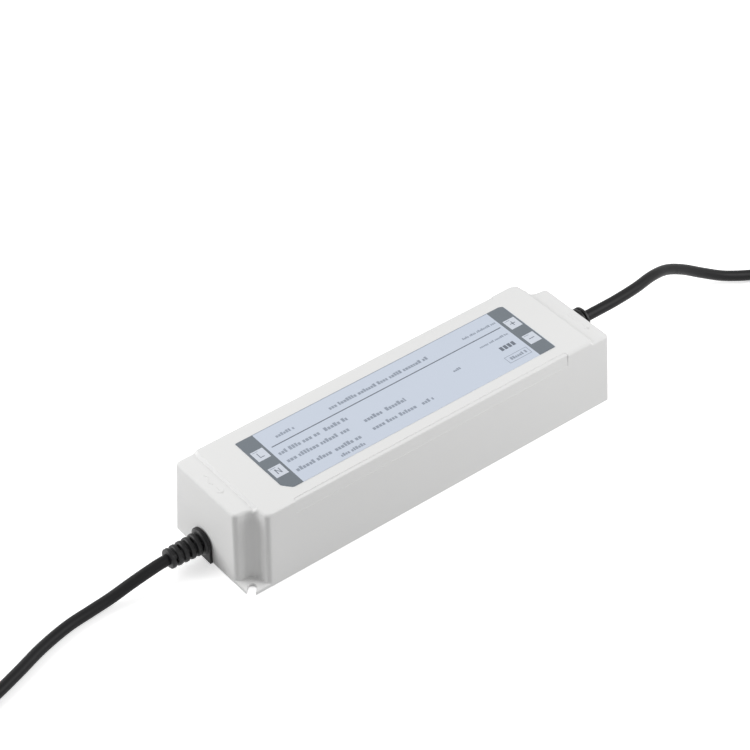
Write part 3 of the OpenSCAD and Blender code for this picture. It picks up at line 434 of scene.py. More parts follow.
def finish(
    name, tint, shade=0.9, rough=(0.4, 0.5), metallic=0.0, grain=2500.0, patches=60.0, bump=0.00002,
    bump_strength=0.3, scratches=0.3, coat=0.0, bands=None, specular=0.5,
):
    """A material of one kind of stuff: tint to a shade of it in patches, grain, rubbed gloss."""
    material = bpy.data.materials.new(name)
    material.use_nodes = True
    tree = material.node_tree
    surface = placed_group(tree, moulded_grain, Scale=grain, Patches=patches)
    marks = placed_group(tree, handling_marks, Scratches=scratches)
    darker = shade if isinstance(shade, tuple) else tuple(c * shade for c in tint)
    base, height = mixed(tree, surface["Shade"], tint, darker), surface["Height"]
    if bands:
        stretch, scale, band_tint = bands
        wound = placed_group(tree, wound_bands, Stretch=stretch, Scale=scale)
        base = mixed(tree, wound["Mask"], band_tint, base)
        height = maths(tree, "ADD", maths(tree, "MULTIPLY", height, 0.25), wound["Height"])
    raised = add(tree, "ShaderNodeBump", {"Strength": bump_strength, "Distance": bump, "Height": height})
    inputs = {
        "Base Color": base,
        "Metallic": metallic,
        "Specular IOR Level": specular,
        "Roughness": ranged(tree, marks["Mask"], 0.0, 1.0, *rough),
        "Normal": raised.outputs["Normal"],
    }
    if coat:
        inputs |= {"Coat Weight": coat, "Coat Roughness": 0.1}
    feed(tree, tree.nodes["Principled BSDF"], inputs)
    return material


def painted(tree, made, given, out):
    """Makes what a geometry tree has made real, gives it its material and hands it out."""
    real = add(tree, "GeometryNodeRealizeInstances", {"Geometry": made})
    inputs = {"Geometry": real.outputs["Geometry"], "Material": given["Finish"]}
    paint = add(tree, "GeometryNodeSetMaterial", inputs)
    feed(tree, out, {"Geometry": paint.outputs["Geometry"]})
    return tree


def tube_along_route(name):
    """Geometry nodes: a closed tube of round section along every spline."""
    inputs = {"Geometry": ["Geometry"], "Radius": ["Float"], "Sides": ["Int"], "Finish": ["Material"]}
    tree, given, out = new_group(name, "Geometry", inputs, {"Geometry": ["Geometry"]})
    inputs = {"Radius": given["Radius"], "Resolution": given["Sides"]}
    section = add(tree, "GeometryNodeCurvePrimitiveCircle", inputs).outputs["Curve"]
    inputs = {"Curve": given["Geometry"], "Profile Curve": section, "Fill Caps": True}
    sweep = add(tree, "GeometryNodeCurveToMesh", inputs)
    return painted(tree, sweep.outputs["Mesh"], given, out)


def repeat_along_axis(name):
    """Geometry nodes: a mesh repeated along X at a pitch, each one turned on by a step."""
    inputs = {
        "Geometry": ["Geometry"], "Count": ["Int"], "Pitch": ["Float"], "Turn": ["Float"],
        "Finish": ["Material"],
    }
    tree, given, out = new_group(name, "Geometry", inputs, {"Geometry": ["Geometry"]})
    offset = add(tree, "ShaderNodeCombineXYZ", {"X": given["Pitch"]}).outputs[0]
    line = add(tree, "GeometryNodeMeshLine", {"Count": given["Count"], "Offset": offset})
    index = add(tree, "GeometryNodeInputIndex").outputs[0]
    turn = add(tree, "ShaderNodeCombineXYZ", {"X": maths(tree, "MULTIPLY", index, given["Turn"])})
    inputs = {
        "Points": line.outputs["Mesh"], "Instance": given["Geometry"], "Rotation": turn.outputs[0],
    }
    copies = add(tree, "GeometryNodeInstanceOnPoints", inputs)
    return painted(tree, copies.outputs["Instances"], given, out)


def run_nodes(obj, maker, **values):
    """Works a geometry node tree into the object's mesh, with inputs given by name."""
    modifier = obj.modifiers.new("nodes", "NODES")
    modifier.node_group = shared(maker)
    for item in modifier.node_group.interface.items_tree:
        if item.item_type == "SOCKET" and item.in_out == "INPUT" and item.name in values:
            modifier[item.identifier] = values[item.name]
    return applied(obj)


# Leads, wires and bare ends

WAY_IN, WAY_OUT = -1, 1
TURN_RADIUS, TURN_STEP, TURN_CLOSING = 24, 30, 5.8
EXITS = {WAY_IN: (-81.25, 5.2, 6.6), WAY_OUT: (81.25, -3.8, 26)}
# Distance beyond the case's end, sideways place and share of the fall to the floor
RUNS = {
    WAY_IN: (
        (-8, 0, 0), (14.5, 0, 0), (22, 0, 0.16), (30, 0, 0.46), (38, 0, 0.82), (46, -0.2, 0.98),
        (56, -1.2, 1), (68, -4.2, 1), (80, -8.6, 1), (93, -12.9, 1), (106, -15.9, 1),
    ),
    WAY_OUT: (
        (-8, 0, 0), (10, 0, 0), (20, 0.2, 0), (30, 1.4, 0.02), (40, 3.8, 0.07), (50, 6.2, 0.21),
        (60, 7, 0.43), (70, 6, 0.68), (80, 3.4, 0.88), (91, -0.8, 0.98), (103, -6.2, 1),
        (116, -11.6, 1), (130, -15, 1),
    ),
}
TURN_AT = {WAY_IN: (-117.5, -16.8), WAY_OUT: (143, -16)}
TURN_STEPS = {WAY_IN: 12, WAY_OUT: 9}
PAIR_SPREAD, WIRE_START = 1.1, 1.2
WIRE_STEPS = (0.7, 1.6, 2.6, 3.6)
WIRE_PLACES = {1: (0.6, 0.1, -0.2, -0.4), -1: (-2.5, -3.3, -4.2, -5.1)}
WIRE_RISE = (0.5, 0.1, 0, 0)
WIRE_TINTS = {
    "wire_brown": (0.13, 0.045, 0.018),
    "wire_blue": (0.03, 0.09, 0.42),
    "wire_red": (0.45, 0.02, 0.02),
    "wire_black": (0.022, 0.022, 0.024),
}
WIRES = {
    (WAY_IN, 1): ("input_live_wire", "wire_brown"),
    (WAY_IN, -1): ("input_neutral_wire", "wire_blue"),
    (WAY_OUT, 1): ("output_positive_wire", "wire_red"),
    (WAY_OUT, -1): ("output_negative_wire", "wire_black"),
}
STRAND_LENGTH, STRAND_START, STRANDS_ROUND, STRAND_TWIST = 6, 0.4, 6, 1.6


def turn_point(way, steps, side, z):
    """A point of the inward winding turn that a lead ends in."""
    exit_at, start = EXITS[way], TURN_AT[way]
    a = math.radians(steps * TURN_STEP)
    radius = TURN_RADIUS - TURN_CLOSING * steps * TURN_STEP / 360 + side
    middle = (exit_at[0] + start[0], exit_at[1] + start[1] + TURN_RADIUS)
    return Vector((middle[0] + way * radius * math.sin(a), middle[1] - radius * math.cos(a), z))


def lead_route(way, rest):
    exit_at = EXITS[way]
    out = [
        Vector((exit_at[0] + way * along, exit_at[1] + side, exit_at[2] + (rest - exit_at[2]) * fall))
        for along, side, fall in RUNS[way]
    ]
    return out + [turn_point(way, i, 0, rest) for i in range(TURN_STEPS[way] + 1)]


def heading(route):
    return (route[-1] - route[-2]).normalized()


def wire_route(way, lead, lead_rest, wire_rest, side):
    """A wire's route out of the lead's end face and along its turn."""
    along = heading(lead)
    left = Vector((0, 0, 1)).cross(along).normalized()
    start = lead[-1] - side * way * PAIR_SPREAD * left
    out = [start, start + WIRE_START * along]
    for steps, place, rise in zip(WIRE_STEPS, WIRE_PLACES[side], WIRE_RISE):
        z = wire_rest + (lead_rest - wire_rest) * rise
        out.append(turn_point(way, TURN_STEPS[way] + steps, place, z))
    return out


def smooth_route(points, steps=6):
    """More points on one smooth curve through the given ones, kept inside the box that they fill."""
    out = []
    ends = [2 * points[0] - points[1], *points, 2 * points[-1] - points[-2]]
    for a, b, c, d in zip(ends, ends[1:], ends[2:], ends[3:]):
        for t in (k / steps for k in range(steps)):
            square, cube = 2 * a - 5 * b + 4 * c - d, 3 * b - a - 3 * c + d
            out.append(0.5 * (2 * b + (c - a) * t + square * t * t + cube * t**3))
    low = [min(p[i] for p in points) for i in range(3)]
    high = [max(p[i] for p in points) for i in range(3)]
    return [Vector([min(max(v, a), b) for v, a, b in zip(p, low, high)]) for p in (*out, points[-1])]


def tube(name, routes, diameter, sides, material):
    """One mesh of round tubes along routes given in millimetres."""
    curve = bpy.data.curves.new(name, "CURVE")
    curve.dimensions = "3D"
    for route in routes:
        spline = curve.splines.new("POLY")
        spline.points.add(len(route) - 1)
        for point, place in zip(spline.points, route):
            point.co = (*(c * MM for c in place), 1)
    values = {"Radius": diameter / 2 * MM, "Sides": sides, "Finish": material}
    return close_up(run_nodes(link_new(name, curve), tube_along_route, **values), sharp=50)


def strand_routes(start, along, fine):
    """Fine strands laid in a slow twist, one in the middle and the rest round it."""
    side = along.orthogonal().normalized()
    up = along.cross(side)
    routes = [[start + along * STRAND_LENGTH * k / 4 for k in range(5)]]
    for n in range(STRANDS_ROUND):
        route = []
        for t in (k / 12 for k in range(13)):
            a = 2 * math.pi * n / STRANDS_ROUND + STRAND_TWIST * t
            spread = fine * (1 + 0.12 * t * math.sin(3.1 * n))
            route.append(start + along * STRAND_LENGTH * t + spread * (math.cos(a) * side + math.sin(a) * up))
        routes.append(route)
    return routes


class SUPPLY_OT_leads(bpy.types.Operator):
    """Make the two leads with their loose wires and bare, tinned ends"""

    bl_idname = "supply.make_leads"
    bl_label = "Leads"

    def execute(self, context):
        s = in_mm(context.scene.supply_leads)
        sheath = finish(
            "lead_sheath", s.sheath_tint, shade=(0.011, 0.011, 0.012), rough=(0.42, 0.55), grain=1500,
            bump=0.00003, bump_strength=0.25, scratches=0.5, specular=0.16,
        )
        tin = finish("tinned_strands", (0.62, 0.62, 0.6), 0.75, (0.25, 0.4), metallic=1.0, grain=3000)
        for way, label in ((WAY_IN, "input"), (WAY_OUT, "output")):
            coarse = lead_route(way, s.lead / 2)
            route = smooth_route(coarse)
            cable = tube(label + "_lead_sheath", [route], s.lead, s.sides, sheath)
            dressed(cable, label + "_cable")
            pieces, bare = [], []
            for side in (1, -1):
                node, slot = WIRES[way, side]
                lie = wire_route(way, coarse, s.lead / 2, s.wire / 2, side)
                skin = finish(slot, WIRE_TINTS[slot], 0.8, (0.3, 0.42), grain=2200, coat=0.1)
                wire = tube(node + "_skin", [smooth_route(lie, 5)], s.wire, 18, skin)
                pieces.append(dressed(wire, node))
                along = heading(lie)
                bare += strand_routes(lie[-1] - along * STRAND_START, along, s.strand_bundle / 3)
            ends = tube(label + "_bare_ends", bare, s.strand_bundle / 3, 8, tin)
            pieces.append(dressed(ends, label + "_strands"))
        return {"FINISHED"}


# Case

HOLLOW_LEAN, HOLLOW_STEPS, HOLLOW_GAP = 6, 20, 1.2
# Where the slope between the two heights has its rows of points
SLOPE_SHARES = (0, 0.1, 0.2, 0.5, 0.8, 0.9, 1)
# Places along a long side where the rim has points, besides the slopes and the strip's ends
RIM_PLACES = (69.4, 68, *range(50, -60, -10), -66, -74.5)
CRISP_END, RIM_REACH = 69.5, 4
TOP_PLACES = (10, 5, 0, -5, -10, -15)
EDGE_STEPS = 6
FOOT_EDGE = 0.1
COVE_SHARES = (0, 0.05, 0.15, 0.32, 0.6, 1)
INNER_LIP, INNER_CORNER, INNER_FOOT = 0.3, 0.5, 2.6
# The ears' rows: heights from below or depths from above, with their insets
EAR_LOWER, EAR_UPPER = ((0.02, 0.1), (0.12, 0)), ((0.26, 0), (0.08, 0.08), (0, 0.26))
EAR_SIDE, EAR_GAP, SLOT_FLARE = 9.2, 0.04, 0.12
STRIP_TURN, STRIP_PLAY = 1.3, 0.02
ARCH_OPENING, GROMMET_HOLE = 4.25, 2.83
SIGN_WIDTH, SIGN_SUNK, SIGN_RISE = 0.34, 0.05, 0.12


def top_sharp(s):
    """Where the long and the end wall would reach the top, as distances from the middle."""
    return s.length / 2 - s.draft, s.width / 2 - s.side_draft


def raised_half(s):
    return s.length / 2 - s.block_length


def raised_centre(s):
    """Middle of the raised part's plan rounding at a plain corner, as distances from the middle."""
    return raised_half(s) - s.raised_corner, s.width / 2 - s.side_draft + 0.1 - s.raised_corner


def slope_rows(s):
    """Each slope row's place along, its reach round a plain corner, and its angle's cosine in the hollow."""
    middle, bore = s.hollow_width - s.hollow_radius, s.hollow_radius + s.edge
    for share in SLOPE_SHARES:
        along = raised_half(s) + share * s.block_slope
        yield along, s.raised_corner + share * s.block_slope, (top_sharp(s)[0] - middle - along) / bore


def hollow_angles(s):
    """Angles round the hollow, with those where the slope's rows of points meet it at the top."""
    regular = [90 - HOLLOW_LEAN - (90 - 2 * HOLLOW_LEAN) * k / HOLLOW_STEPS for k in range(HOLLOW_STEPS + 1)]
    at_rows = [math.degrees(math.acos(share)) for _, _, share in slope_rows(s)]
    kept = [a for a in regular if all(abs(a - b) > HOLLOW_GAP for b in at_rows)]
    return sorted(kept + at_rows, reverse=True)


def top_height(s, x, y):
    """Height of the top over a place: the raised middle, its slope, or an end block."""
    ax, ay = abs(x), abs(y)
    beyond = ax - raised_half(s)
    cx, cy = raised_centre(s)
    if x * y < 0 and ax > cx and ay > cy:
        beyond = math.hypot(ax - cx, ay - cy) - s.raised_corner
    t, bend = min(1.0, max(0.0, beyond / s.block_slope)), 0.2
    if t < bend:
        share = t * t / 2 / bend
    elif t > 1 - bend:
        share = 1 - bend - (1 - t) ** 2 / 2 / bend
    else:
        share = t - bend / 2
    return s.height - s.block_drop * share / (1 - bend)


def rim_rows(s):
    """Places along a long side, from the hollow to the plain corner, where the rim has points."""
    strip = s.length / 2 - s.insert_end
    cx, cy = raised_centre(s)
    side = top_sharp(s)[1] - s.edge
    rows = [sign * strip + play for sign in (1, -1) for play in (STRIP_PLAY, -STRIP_PLAY)]
    rows += [-(cx + math.sqrt(reach**2 - (side - cy) ** 2)) for _, reach, _ in slope_rows(s)]
    return sorted((*RIM_PLACES, *rows), reverse=True)


def outline(s, z, inset=0.0, flare=0.0, lip=None, corner=None):
    """The case's outline at a height: twice a hollowed corner, a long side and a plain corner."""
    share = z / s.height
    wall_x, wall_y = s.length / 2 - s.draft * share, s.width / 2 - s.side_draft * share
    lip = s.lip if lip is None else lip
    if corner is None:
        upwards = min(1, z / (s.height - s.block_drop - s.edge))
        corner = s.foot_corner + (s.corner - s.foot_corner) * upwards
    a = math.radians(HOLLOW_LEAN)
    near = inset + lip
    middle = s.hollow_width - s.hollow_radius
    bore = s.hollow_radius + inset - flare
    line = middle * (math.sin(a) + math.cos(a)) + bore + lip
    far = (line - near * math.sin(a)) / math.cos(a)
    angles = [math.radians(t) for t in hollow_angles(s)]
    hollow = arc((near, far), lip, 180, 270 - HOLLOW_LEAN, 6)
    hollow += [(middle + bore * math.cos(t), middle + bore * math.sin(t)) for t in angles]
    hollow += arc((far, near), lip, 180 + HOLLOW_LEAN, 270, 6)
    half = [(wall_x - x, wall_y - y) for x, y in hollow]
    half += [(x, wall_y - inset) for x in rim_rows(s)]
    half += arc((inset + corner - wall_x, wall_y - inset - corner), corner, 90, 180, 8)
    return half + [(-x, -y) for x, y in half]


def level(s, z, *given):
    return [(x, y, z) for x, y in outline(s, z, *given)]


def foot_rings(s):
    """Rings from the foot's small edge up through the cove over the ears."""

    def cove(z):
        reach = s.ear_thickness + s.ear_cove - z
        if reach <= 0:
            return 0.0
        return s.ear_cove - math.sqrt(max(0.0, s.ear_cove**2 - min(reach, s.ear_cove) ** 2))

    lowest = outline(s, 0, FOOT_EDGE, cove(0), s.lip - FOOT_EDGE, s.foot_corner - FOOT_EDGE)
    heights = [FOOT_EDGE, *(s.ear_thickness + share * s.ear_cove for share in COVE_SHARES)]
    return [[(x, y, 0) for x, y in lowest]] + [level(s, z, 0, cove(z)) for z in heights]


def rim_rings(s):
    """Rings round the top edge, which is crisp along the strips and softer elsewhere."""
    around = outline(s, s.height, s.edge, 0, s.lip - s.edge, s.corner - s.edge)
    tops = [top_height(s, x, y) for x, y in around]
    rings = []
    for k in range(EDGE_STEPS + 1):
        a = math.radians(90 * k / EDGE_STEPS)
        both = []
        for radius in (s.edge, s.insert_edge):
            inset = radius * (1 - math.cos(a))
            heights = [top - radius * (1 - math.sin(a)) for top in tops]
            levels = {z: level(s, z, inset, 0, s.lip - inset, s.corner - inset) for z in set(heights)}
            both.append([levels[z][i] for i, z in enumerate(heights)])
        rings.append([crisp if on_strip(s, *crisp[:2]) else soft for soft, crisp in zip(*both)])
    return rings


def on_strip(s, x, y):
    """Whether a place on the rim is on a long edge's crisp stretch, from the strip's end to the hollow."""
    along = x * math.copysign(1, y)
    return abs(y) > s.width / 2 - RIM_REACH and s.insert_end - s.length / 2 < along < CRISP_END


def top_surface(s, rim, start):
    """The top inside its rim, cut along rows of points across each slope, numbered from start."""
    plan = [Vector(p[:2]) for p in rim]
    edges = [(i, (i + 1) % len(plan)) for i in range(len(plan))]
    (cx, cy), (sharp_x, sharp_y) = raised_centre(s), top_sharp(s)
    middle, bore = s.hollow_width - s.hollow_radius, s.hollow_radius + s.edge
    for x, reach, _ in slope_rows(s):
        hollow_y = sharp_y - middle - math.sqrt(bore**2 - (sharp_x - middle - x) ** 2)
        turn_end = math.degrees(math.asin((sharp_y - s.edge - cy) / reach))
        row = [(x, hollow_y), *((x, y) for y in TOP_PLACES), *arc((cx, -cy), reach, 0, -turn_end, 6)]
        for sign in (1, -1):
            first = len(plan)
            plan += [Vector((sign * px, sign * py)) for px, py in row]
            edges += [(first + i, first + i + 1) for i in range(len(row) - 1)]
    flat, _, cells, *_ = delaunay_2d_cdt(plan, edges, [list(range(len(rim)))], 1, 1e-4)
    points = [(p[0], p[1], top_height(s, p[0], p[1])) for p in flat]
    return points, [tuple(start + i for i in cell) for cell in cells]


def case_skin(s, materials):
    """The case as one closed shell: leaning walls, rounded rim, stepped top and its inside."""
    rings = foot_rings(s) + rim_rings(s)
    points, faces = shell(rings)
    count = len(rings[0])
    top_points, top_faces = top_surface(s, rings[-1], len(points))
    points += top_points
    # The inside, from the foot up to the flat underside of the top
    inner_top = s.height - s.block_drop - s.wall
    heights = (0, INNER_FOOT, inner_top * 0.5, inner_top)
    start = len(points)
    inner = [level(s, z, s.wall, 0, INNER_LIP, INNER_CORNER) for z in heights]
    inner_points, inner_faces = shell(inner, start)
    points += inner_points
    faces += top_faces + inner_faces + ring_faces(start, 0, count)
    faces += fan(points, len(points) - count, count)
    return close_up(mesh_object("case_skin", points, faces, materials))


def foot_setback(s):
    """How far an end wall has leant in at the ears' upper face."""
    return s.draft * s.ear_thickness / s.height + EAR_GAP


def ear(s, sign, materials):
    """A square ear with its open slot, at the corner where both axes have this sign."""
    reach_x = s.length / 2 - foot_setback(s)
    reach_y = s.width / 2 - s.side_draft * s.ear_thickness / s.height - EAR_GAP
    corner_way = math.sqrt(0.5) * s.slot_inset
    centre = (s.length / 2 - corner_way, s.width / 2 - corner_way)
    mouth = (s.slot_width / 2 + SLOT_FLARE) * math.sqrt(2)
    tip = reach_x - centre[0] - mouth
    # The inner side runs through the middle of the hollow's wall
    bend = s.hollow_width - s.hollow_radius
    plan = arc((s.length / 2 - bend, s.width / 2 - bend), s.hollow_radius + s.wall / 2, 180, 270, 10)
    plan += [(reach_x, reach_y - EAR_SIDE), (reach_x, centre[1] + tip)]
    plan += arc(centre, s.slot_width / 2, -45, -225, 18)
    plan += [(centre[0] + tip, reach_y), (reach_x - EAR_SIDE, reach_y)]
    rows = (*EAR_LOWER, *((s.ear_thickness - depth, inset) for depth, inset in EAR_UPPER))
    rings = [[(sign * x, sign * y, z) for x, y in inset_plan(plan, inset)] for z, inset in rows]
    return close_up(loft("ear", rings, materials, "flat"))


def inset_plan(plan, inset):
    """A closed outline moved inwards by a small distance."""
    out = []
    for before, here, after in zip(plan[-1:] + plan, plan, plan[1:] + plan[:1]):
        sides = ((before, here), (here, after))
        n1, n2 = ((Vector(b) - Vector(a)).normalized().orthogonal() for a, b in sides)
        out.append(tuple(Vector(here) + (n1 + n2) / max(0.4, 1 + n1.dot(n2)) * inset))
    return out


def strip_cut(s, sign):
    """What the shallow strip along a long top edge takes away: its section, kept to its rounded plan."""

    def wall_y(z):
        return s.width / 2 - s.side_draft * z / s.height

    strip, outside, over = s.length / 2 - s.insert_end, s.width / 2 + 1, s.height + 1
    side_z, top_z = s.height - s.insert_side, s.height - s.insert_depth
    top_y = wall_y(s.height) - s.insert_top
    face = wall_y(top_z) - s.insert_inset
    section = [(outside, side_z), (wall_y(side_z) - s.insert_foot, side_z)]
    section += arc((face - s.insert_edge, top_z - s.insert_edge), s.insert_edge, 0, 90, 5)
    section += [(top_y, top_z), (top_y, over), (outside, over)]
    rings = [[(x, sign * y, z) for y, z in section] for x in (-strip, strip)]
    cut = close_up(loft("strip", rings, ends="flat"))
    plan = [(strip, outside), *arc((strip - STRIP_TURN, top_y + STRIP_TURN), STRIP_TURN, 0, -90, 7)]
    plan += [*arc((STRIP_TURN - strip, top_y + STRIP_TURN), STRIP_TURN, 270, 180, 7), (-strip, outside)]
    rings = [[(x, sign * y, z) for x, y in plan] for z in (side_z - 1, over + 1)]
    combine(cut, [close_up(loft("strip_plan", rings, ends="flat"))], "INTERSECT")
    return cut


def arch_plan(radius, foot, steps=20):
    """An arch in (sideways, height) about the lead's axis, its straight sides going down to the foot."""
    return arc((0, 0), radius, 0, 180, steps) + [(-radius, -foot), (radius, -foot)]


def opening(name, way, plan, x0, x1):
    """What an opening round a lead takes away: a plan about the lead's axis, drawn out along X."""
    across, height = EXITS[way][1:]
    rings = [[(EXITS[way][0] + x, across + y, height + z) for y, z in plan] for x in (x0, x1)]
    return close_up(loft(name, rings))


def raised_marks(s, materials):
    """Small raised signs for alternating and direct current, with an arrow for the way of the power."""
    wave = [(0.75 * math.sin(2 * math.pi * k / 16), 5.2 - 5.2 * k / 16) for k in range(17)]
    bars = [[(-0.5, 5.2), (-0.5, 0)], *([(0.5, 5.2 - 2.0 * k), (0.5, 4.0 - 2.0 * k)] for k in range(3))]
    arrow = [[(0, -2.2), (0, -5.6)], [(-1.0, -4.5), (0, -5.7), (1.0, -4.5)]]
    made = []
    for x, y, lines in ((-76.3, 4.2, [wave]), (76.6, -8.4, bars)):
        top = top_height(s, x, y)
        for line in lines + arrow:
            line = [(x + a, y + b) for a, b in line]
            made.append(ribbon("sign", line, SIGN_WIDTH, top - SIGN_SUNK, top + SIGN_RISE, materials))
    return made


def ribbon(name, line, width, z0, z1, materials):
    """A thin strip of even width along a line on the top, with a chamfered upper edge."""
    low, high = ([], []), ([], [])
    for i, p in enumerate(line):
        before, after = line[max(0, i - 1)], line[min(len(line) - 1, i + 1)]
        along = (Vector(after) - Vector(before)).normalized() * width / 2
        out = Vector((-along.y, along.x))
        here = Vector(p) + along * ((i == len(line) - 1) - (i == 0))
        for (left, right), share in ((low, 1), (high, 0.6)):
            left.append(here + out * share)
            right.append(here - out * share)
    rows = ((low, z0), (low, (z0 + z1) / 2), (high, z1))
    rings = [[(*p, z) for p in left + right[::-1]] for (left, right), z in rows]
    points, faces = shell(rings)
    count = len(rings[0])
    for first in (0, 2 * count):
        last = first + count - 1
        faces += [(first + i, first + i + 1, last - 1 - i, last - i) for i in range(len(line) - 1)]
    return close_up(mesh_object(name, points, faces, materials))


class SUPPLY_OT_case(bpy.types.Operator):
    """Make the white case with its hollowed corners, ears, stepped top and fine mould lines"""

    bl_idname = "supply.make_case"
    bl_label = "Case"

    def execute(self, context):
        s = in_mm(context.scene.supply_case)
        plastic = finish(
            "case_plastic", s.tint, shade=(0.8, 0.8, 0.795), rough=(0.55, 0.64), grain=2600, patches=14,
            bump=0.00001, bump_strength=0.2, scratches=0.12, specular=0.12,
        )
        case = case_skin(s, [plastic])
        combine(case, [ear(s, 1, [plastic]), ear(s, -1, [plastic])], "UNION")
        arched = opening("arched", WAY_IN, arch_plan(ARCH_OPENING, EXITS[WAY_IN][2] + 0.5), -1, s.wall + 1.5)
        hole = opening("hole", WAY_OUT, arc((0, 0), GROMMET_HOLE, 0, 345, 23), -s.wall - 2.4, 1)
        combine(case, [arched, hole, strip_cut(s, 1), strip_cut(s, -1)], "DIFFERENCE")
        close_up(case, sharp=34)
        case = flat_faces_first(joined("case", [case, *raised_marks(s, [plastic])]))
        dressed(case, "housing")
        return {"FINISHED"}


# Label

# The terminal signs' strokes from a square's middle, and where the squares stand
STROKES = {
    "L": [(-0.9, -0.6, -1.3, 1.3), (-0.6, 0.9, -1.3, -1.0)],
    "N": [(-0.95, -0.6, -1.3, 1.3), (0.6, 0.95, -1.3, 1.3)],
    "+": [(-1.2, 1.2, -0.17, 0.17), (-0.17, 0.17, -1.2, 1.2)],
    "-": [(-1.2, 1.2, -0.17, 0.17)],
}
SLANT = [(0.6, -1.3), (0.95, -1.3), (-0.6, 1.3), (-0.95, 1.3)]
SIGNS = {(-56.0, 4.7): "L", (-56.0, -5.5): "N", (56.4, 4.5): "+", (56.4, -6.0): "-"}
SQUARE = (-2.55, 2.55, -2.7, 2.7)
SIGN_RULE = (-2.0, 0.2, 1.9, 2.15)
# Rows of print: from and to along, place across, and size
PRINT_ROWS = (
    (-46.6, -38.9, 8.9, 1.5), (-23.6, 20.1, 9.0, 1.7), (36.5, 51.7, 8.8, 1.1),
    (-50.9, -33.1, 1.3, 1.9), (-31.5, -21.8, 1.3, 1.9), (-50.8, -29.3, -3.4, 1.9), (-28.1, -24.2, -3.5, 1.9),
    (-51.0, -36.3, -9.0, 1.9), (-34.7, -23.7, -9.1, 1.9), (-34.9, -24.3, -12.8, 1.5),
    (-17.9, -9.8, -3.6, 1.9), (-8.5, 0.1, -3.6, 1.9), (-18.1, -7.4, -8.7, 1.8), (-6.4, 1.5, -8.8, 1.8),
    (3.3, 8.2, -9.1, 1.7), (22.7, 26.1, -2.7, 1.2), (38.3, 51.2, 1.3, 1.0), (42.9, 50.2, -10.2, 1.5),
)
BOLD = [(43.3 + 1.75 * k, 44.6 + 1.75 * k, -5.2, -3.0) for k in range(4)]
FRAME = [
    (41.3, 51.4, -12.1, -11.9), (41.3, 51.4, -8.6, -8.4),
    (41.3, 41.5, -11.9, -8.6), (51.2, 51.4, -11.9, -8.6),
]
DARK_RULE = (-50.8, 51.4, 5.15, 5.6)
LIGHT_RULE_ACROSS = (14.35, 14.6)
# How far each layer's top lies under the print's
FIELD_UNDER, BAND_UNDER, SQUARE_UNDER, SLANT_UNDER = 0.018, 0.012, 0.006, 0.002


def label_plan(s):
    """The label's outline: one large cut corner, and a small rounding at the corner opposite."""
    x0, x1 = s.shift_x - s.length / 2, s.shift_x + s.length / 2
    y0, y1 = s.shift_y - s.width / 2, s.shift_y + s.width / 2
    cut, small = s.cut, s.small_cut
    return [
        (x1, y1 - 2 * small), (x1 - small * 0.4, y1 - small * 0.8), (x1 - 2 * small, y1),
        (x0 + 0.15, y1), (x0, y1 - 0.15), (x0, y0 + cut), (x0 + cut * 0.08, y0 + cut * 0.84),
        (x0 + cut * 0.78, y0 + cut * 0.05), (x0 + cut * 0.96, y0), (x1 - 0.3, y0), (x1, y0 + 0.3),
    ]


def clipped(plan, low, high):
    """The part of a convex plan between two places along X."""
    for limit, keep in ((low, 1), (high, -1)):
        out = []
        for a, b in zip(plan, plan[1:] + plan[:1]):
            inside_a, inside_b = keep * (a[0] - limit) >= 0, keep * (b[0] - limit) >= 0
            if inside_a:
                out.append(a)
            if inside_a != inside_b:
                t = (limit - a[0]) / (b[0] - a[0])
                out.append((limit, a[1] + t * (b[1] - a[1])))
        plan = out
    return plan


def slab(plan, z0, z1, material):
    """A flat plate of a convex plan."""
    return close_up(loft("slab", [[(x, y, z) for x, y in plan] for z in (z0, z1)], [material]))


def letter_row(draw, x0, x1, y, size):
    """Plain blocks in the sizes of small letters, with gaps between words, along one row."""
    out, x, left = [], x0, draw.randint(3, 8)
    while x < x1 - size * 0.3:
        wide = size * draw.uniform(0.42, 0.6)
        tall = size * (1.0 if draw.random() < 0.3 else 0.7)
        out.append((x, min(x + wide, x1), y - size / 2, y - size / 2 + tall))
        x += wide + size * 0.16
        left -= 1
        if left == 0:
            left = draw.randint(3, 8)
            x += size * 0.4
    return out


def blocks(rects, z0, z1, material, at=(0, 0)):
    """One mesh of flat rectangular plates, each given by its ends along and across from a place."""
    points, faces = [], []
    for x0, x1, y0, y1 in rects:
        n = len(points)
        corners = ((x0, y0), (x1, y0), (x1, y1), (x0, y1))
        points += [(at[0] + x, at[1] + y, z) for z in (z0, z1) for x, y in corners]
        faces += [(n + 3, n + 2, n + 1, n), (n + 4, n + 5, n + 6, n + 7)] + ring_faces(n, n + 4, 4)
    return mesh_object("blocks", points, faces, [material])


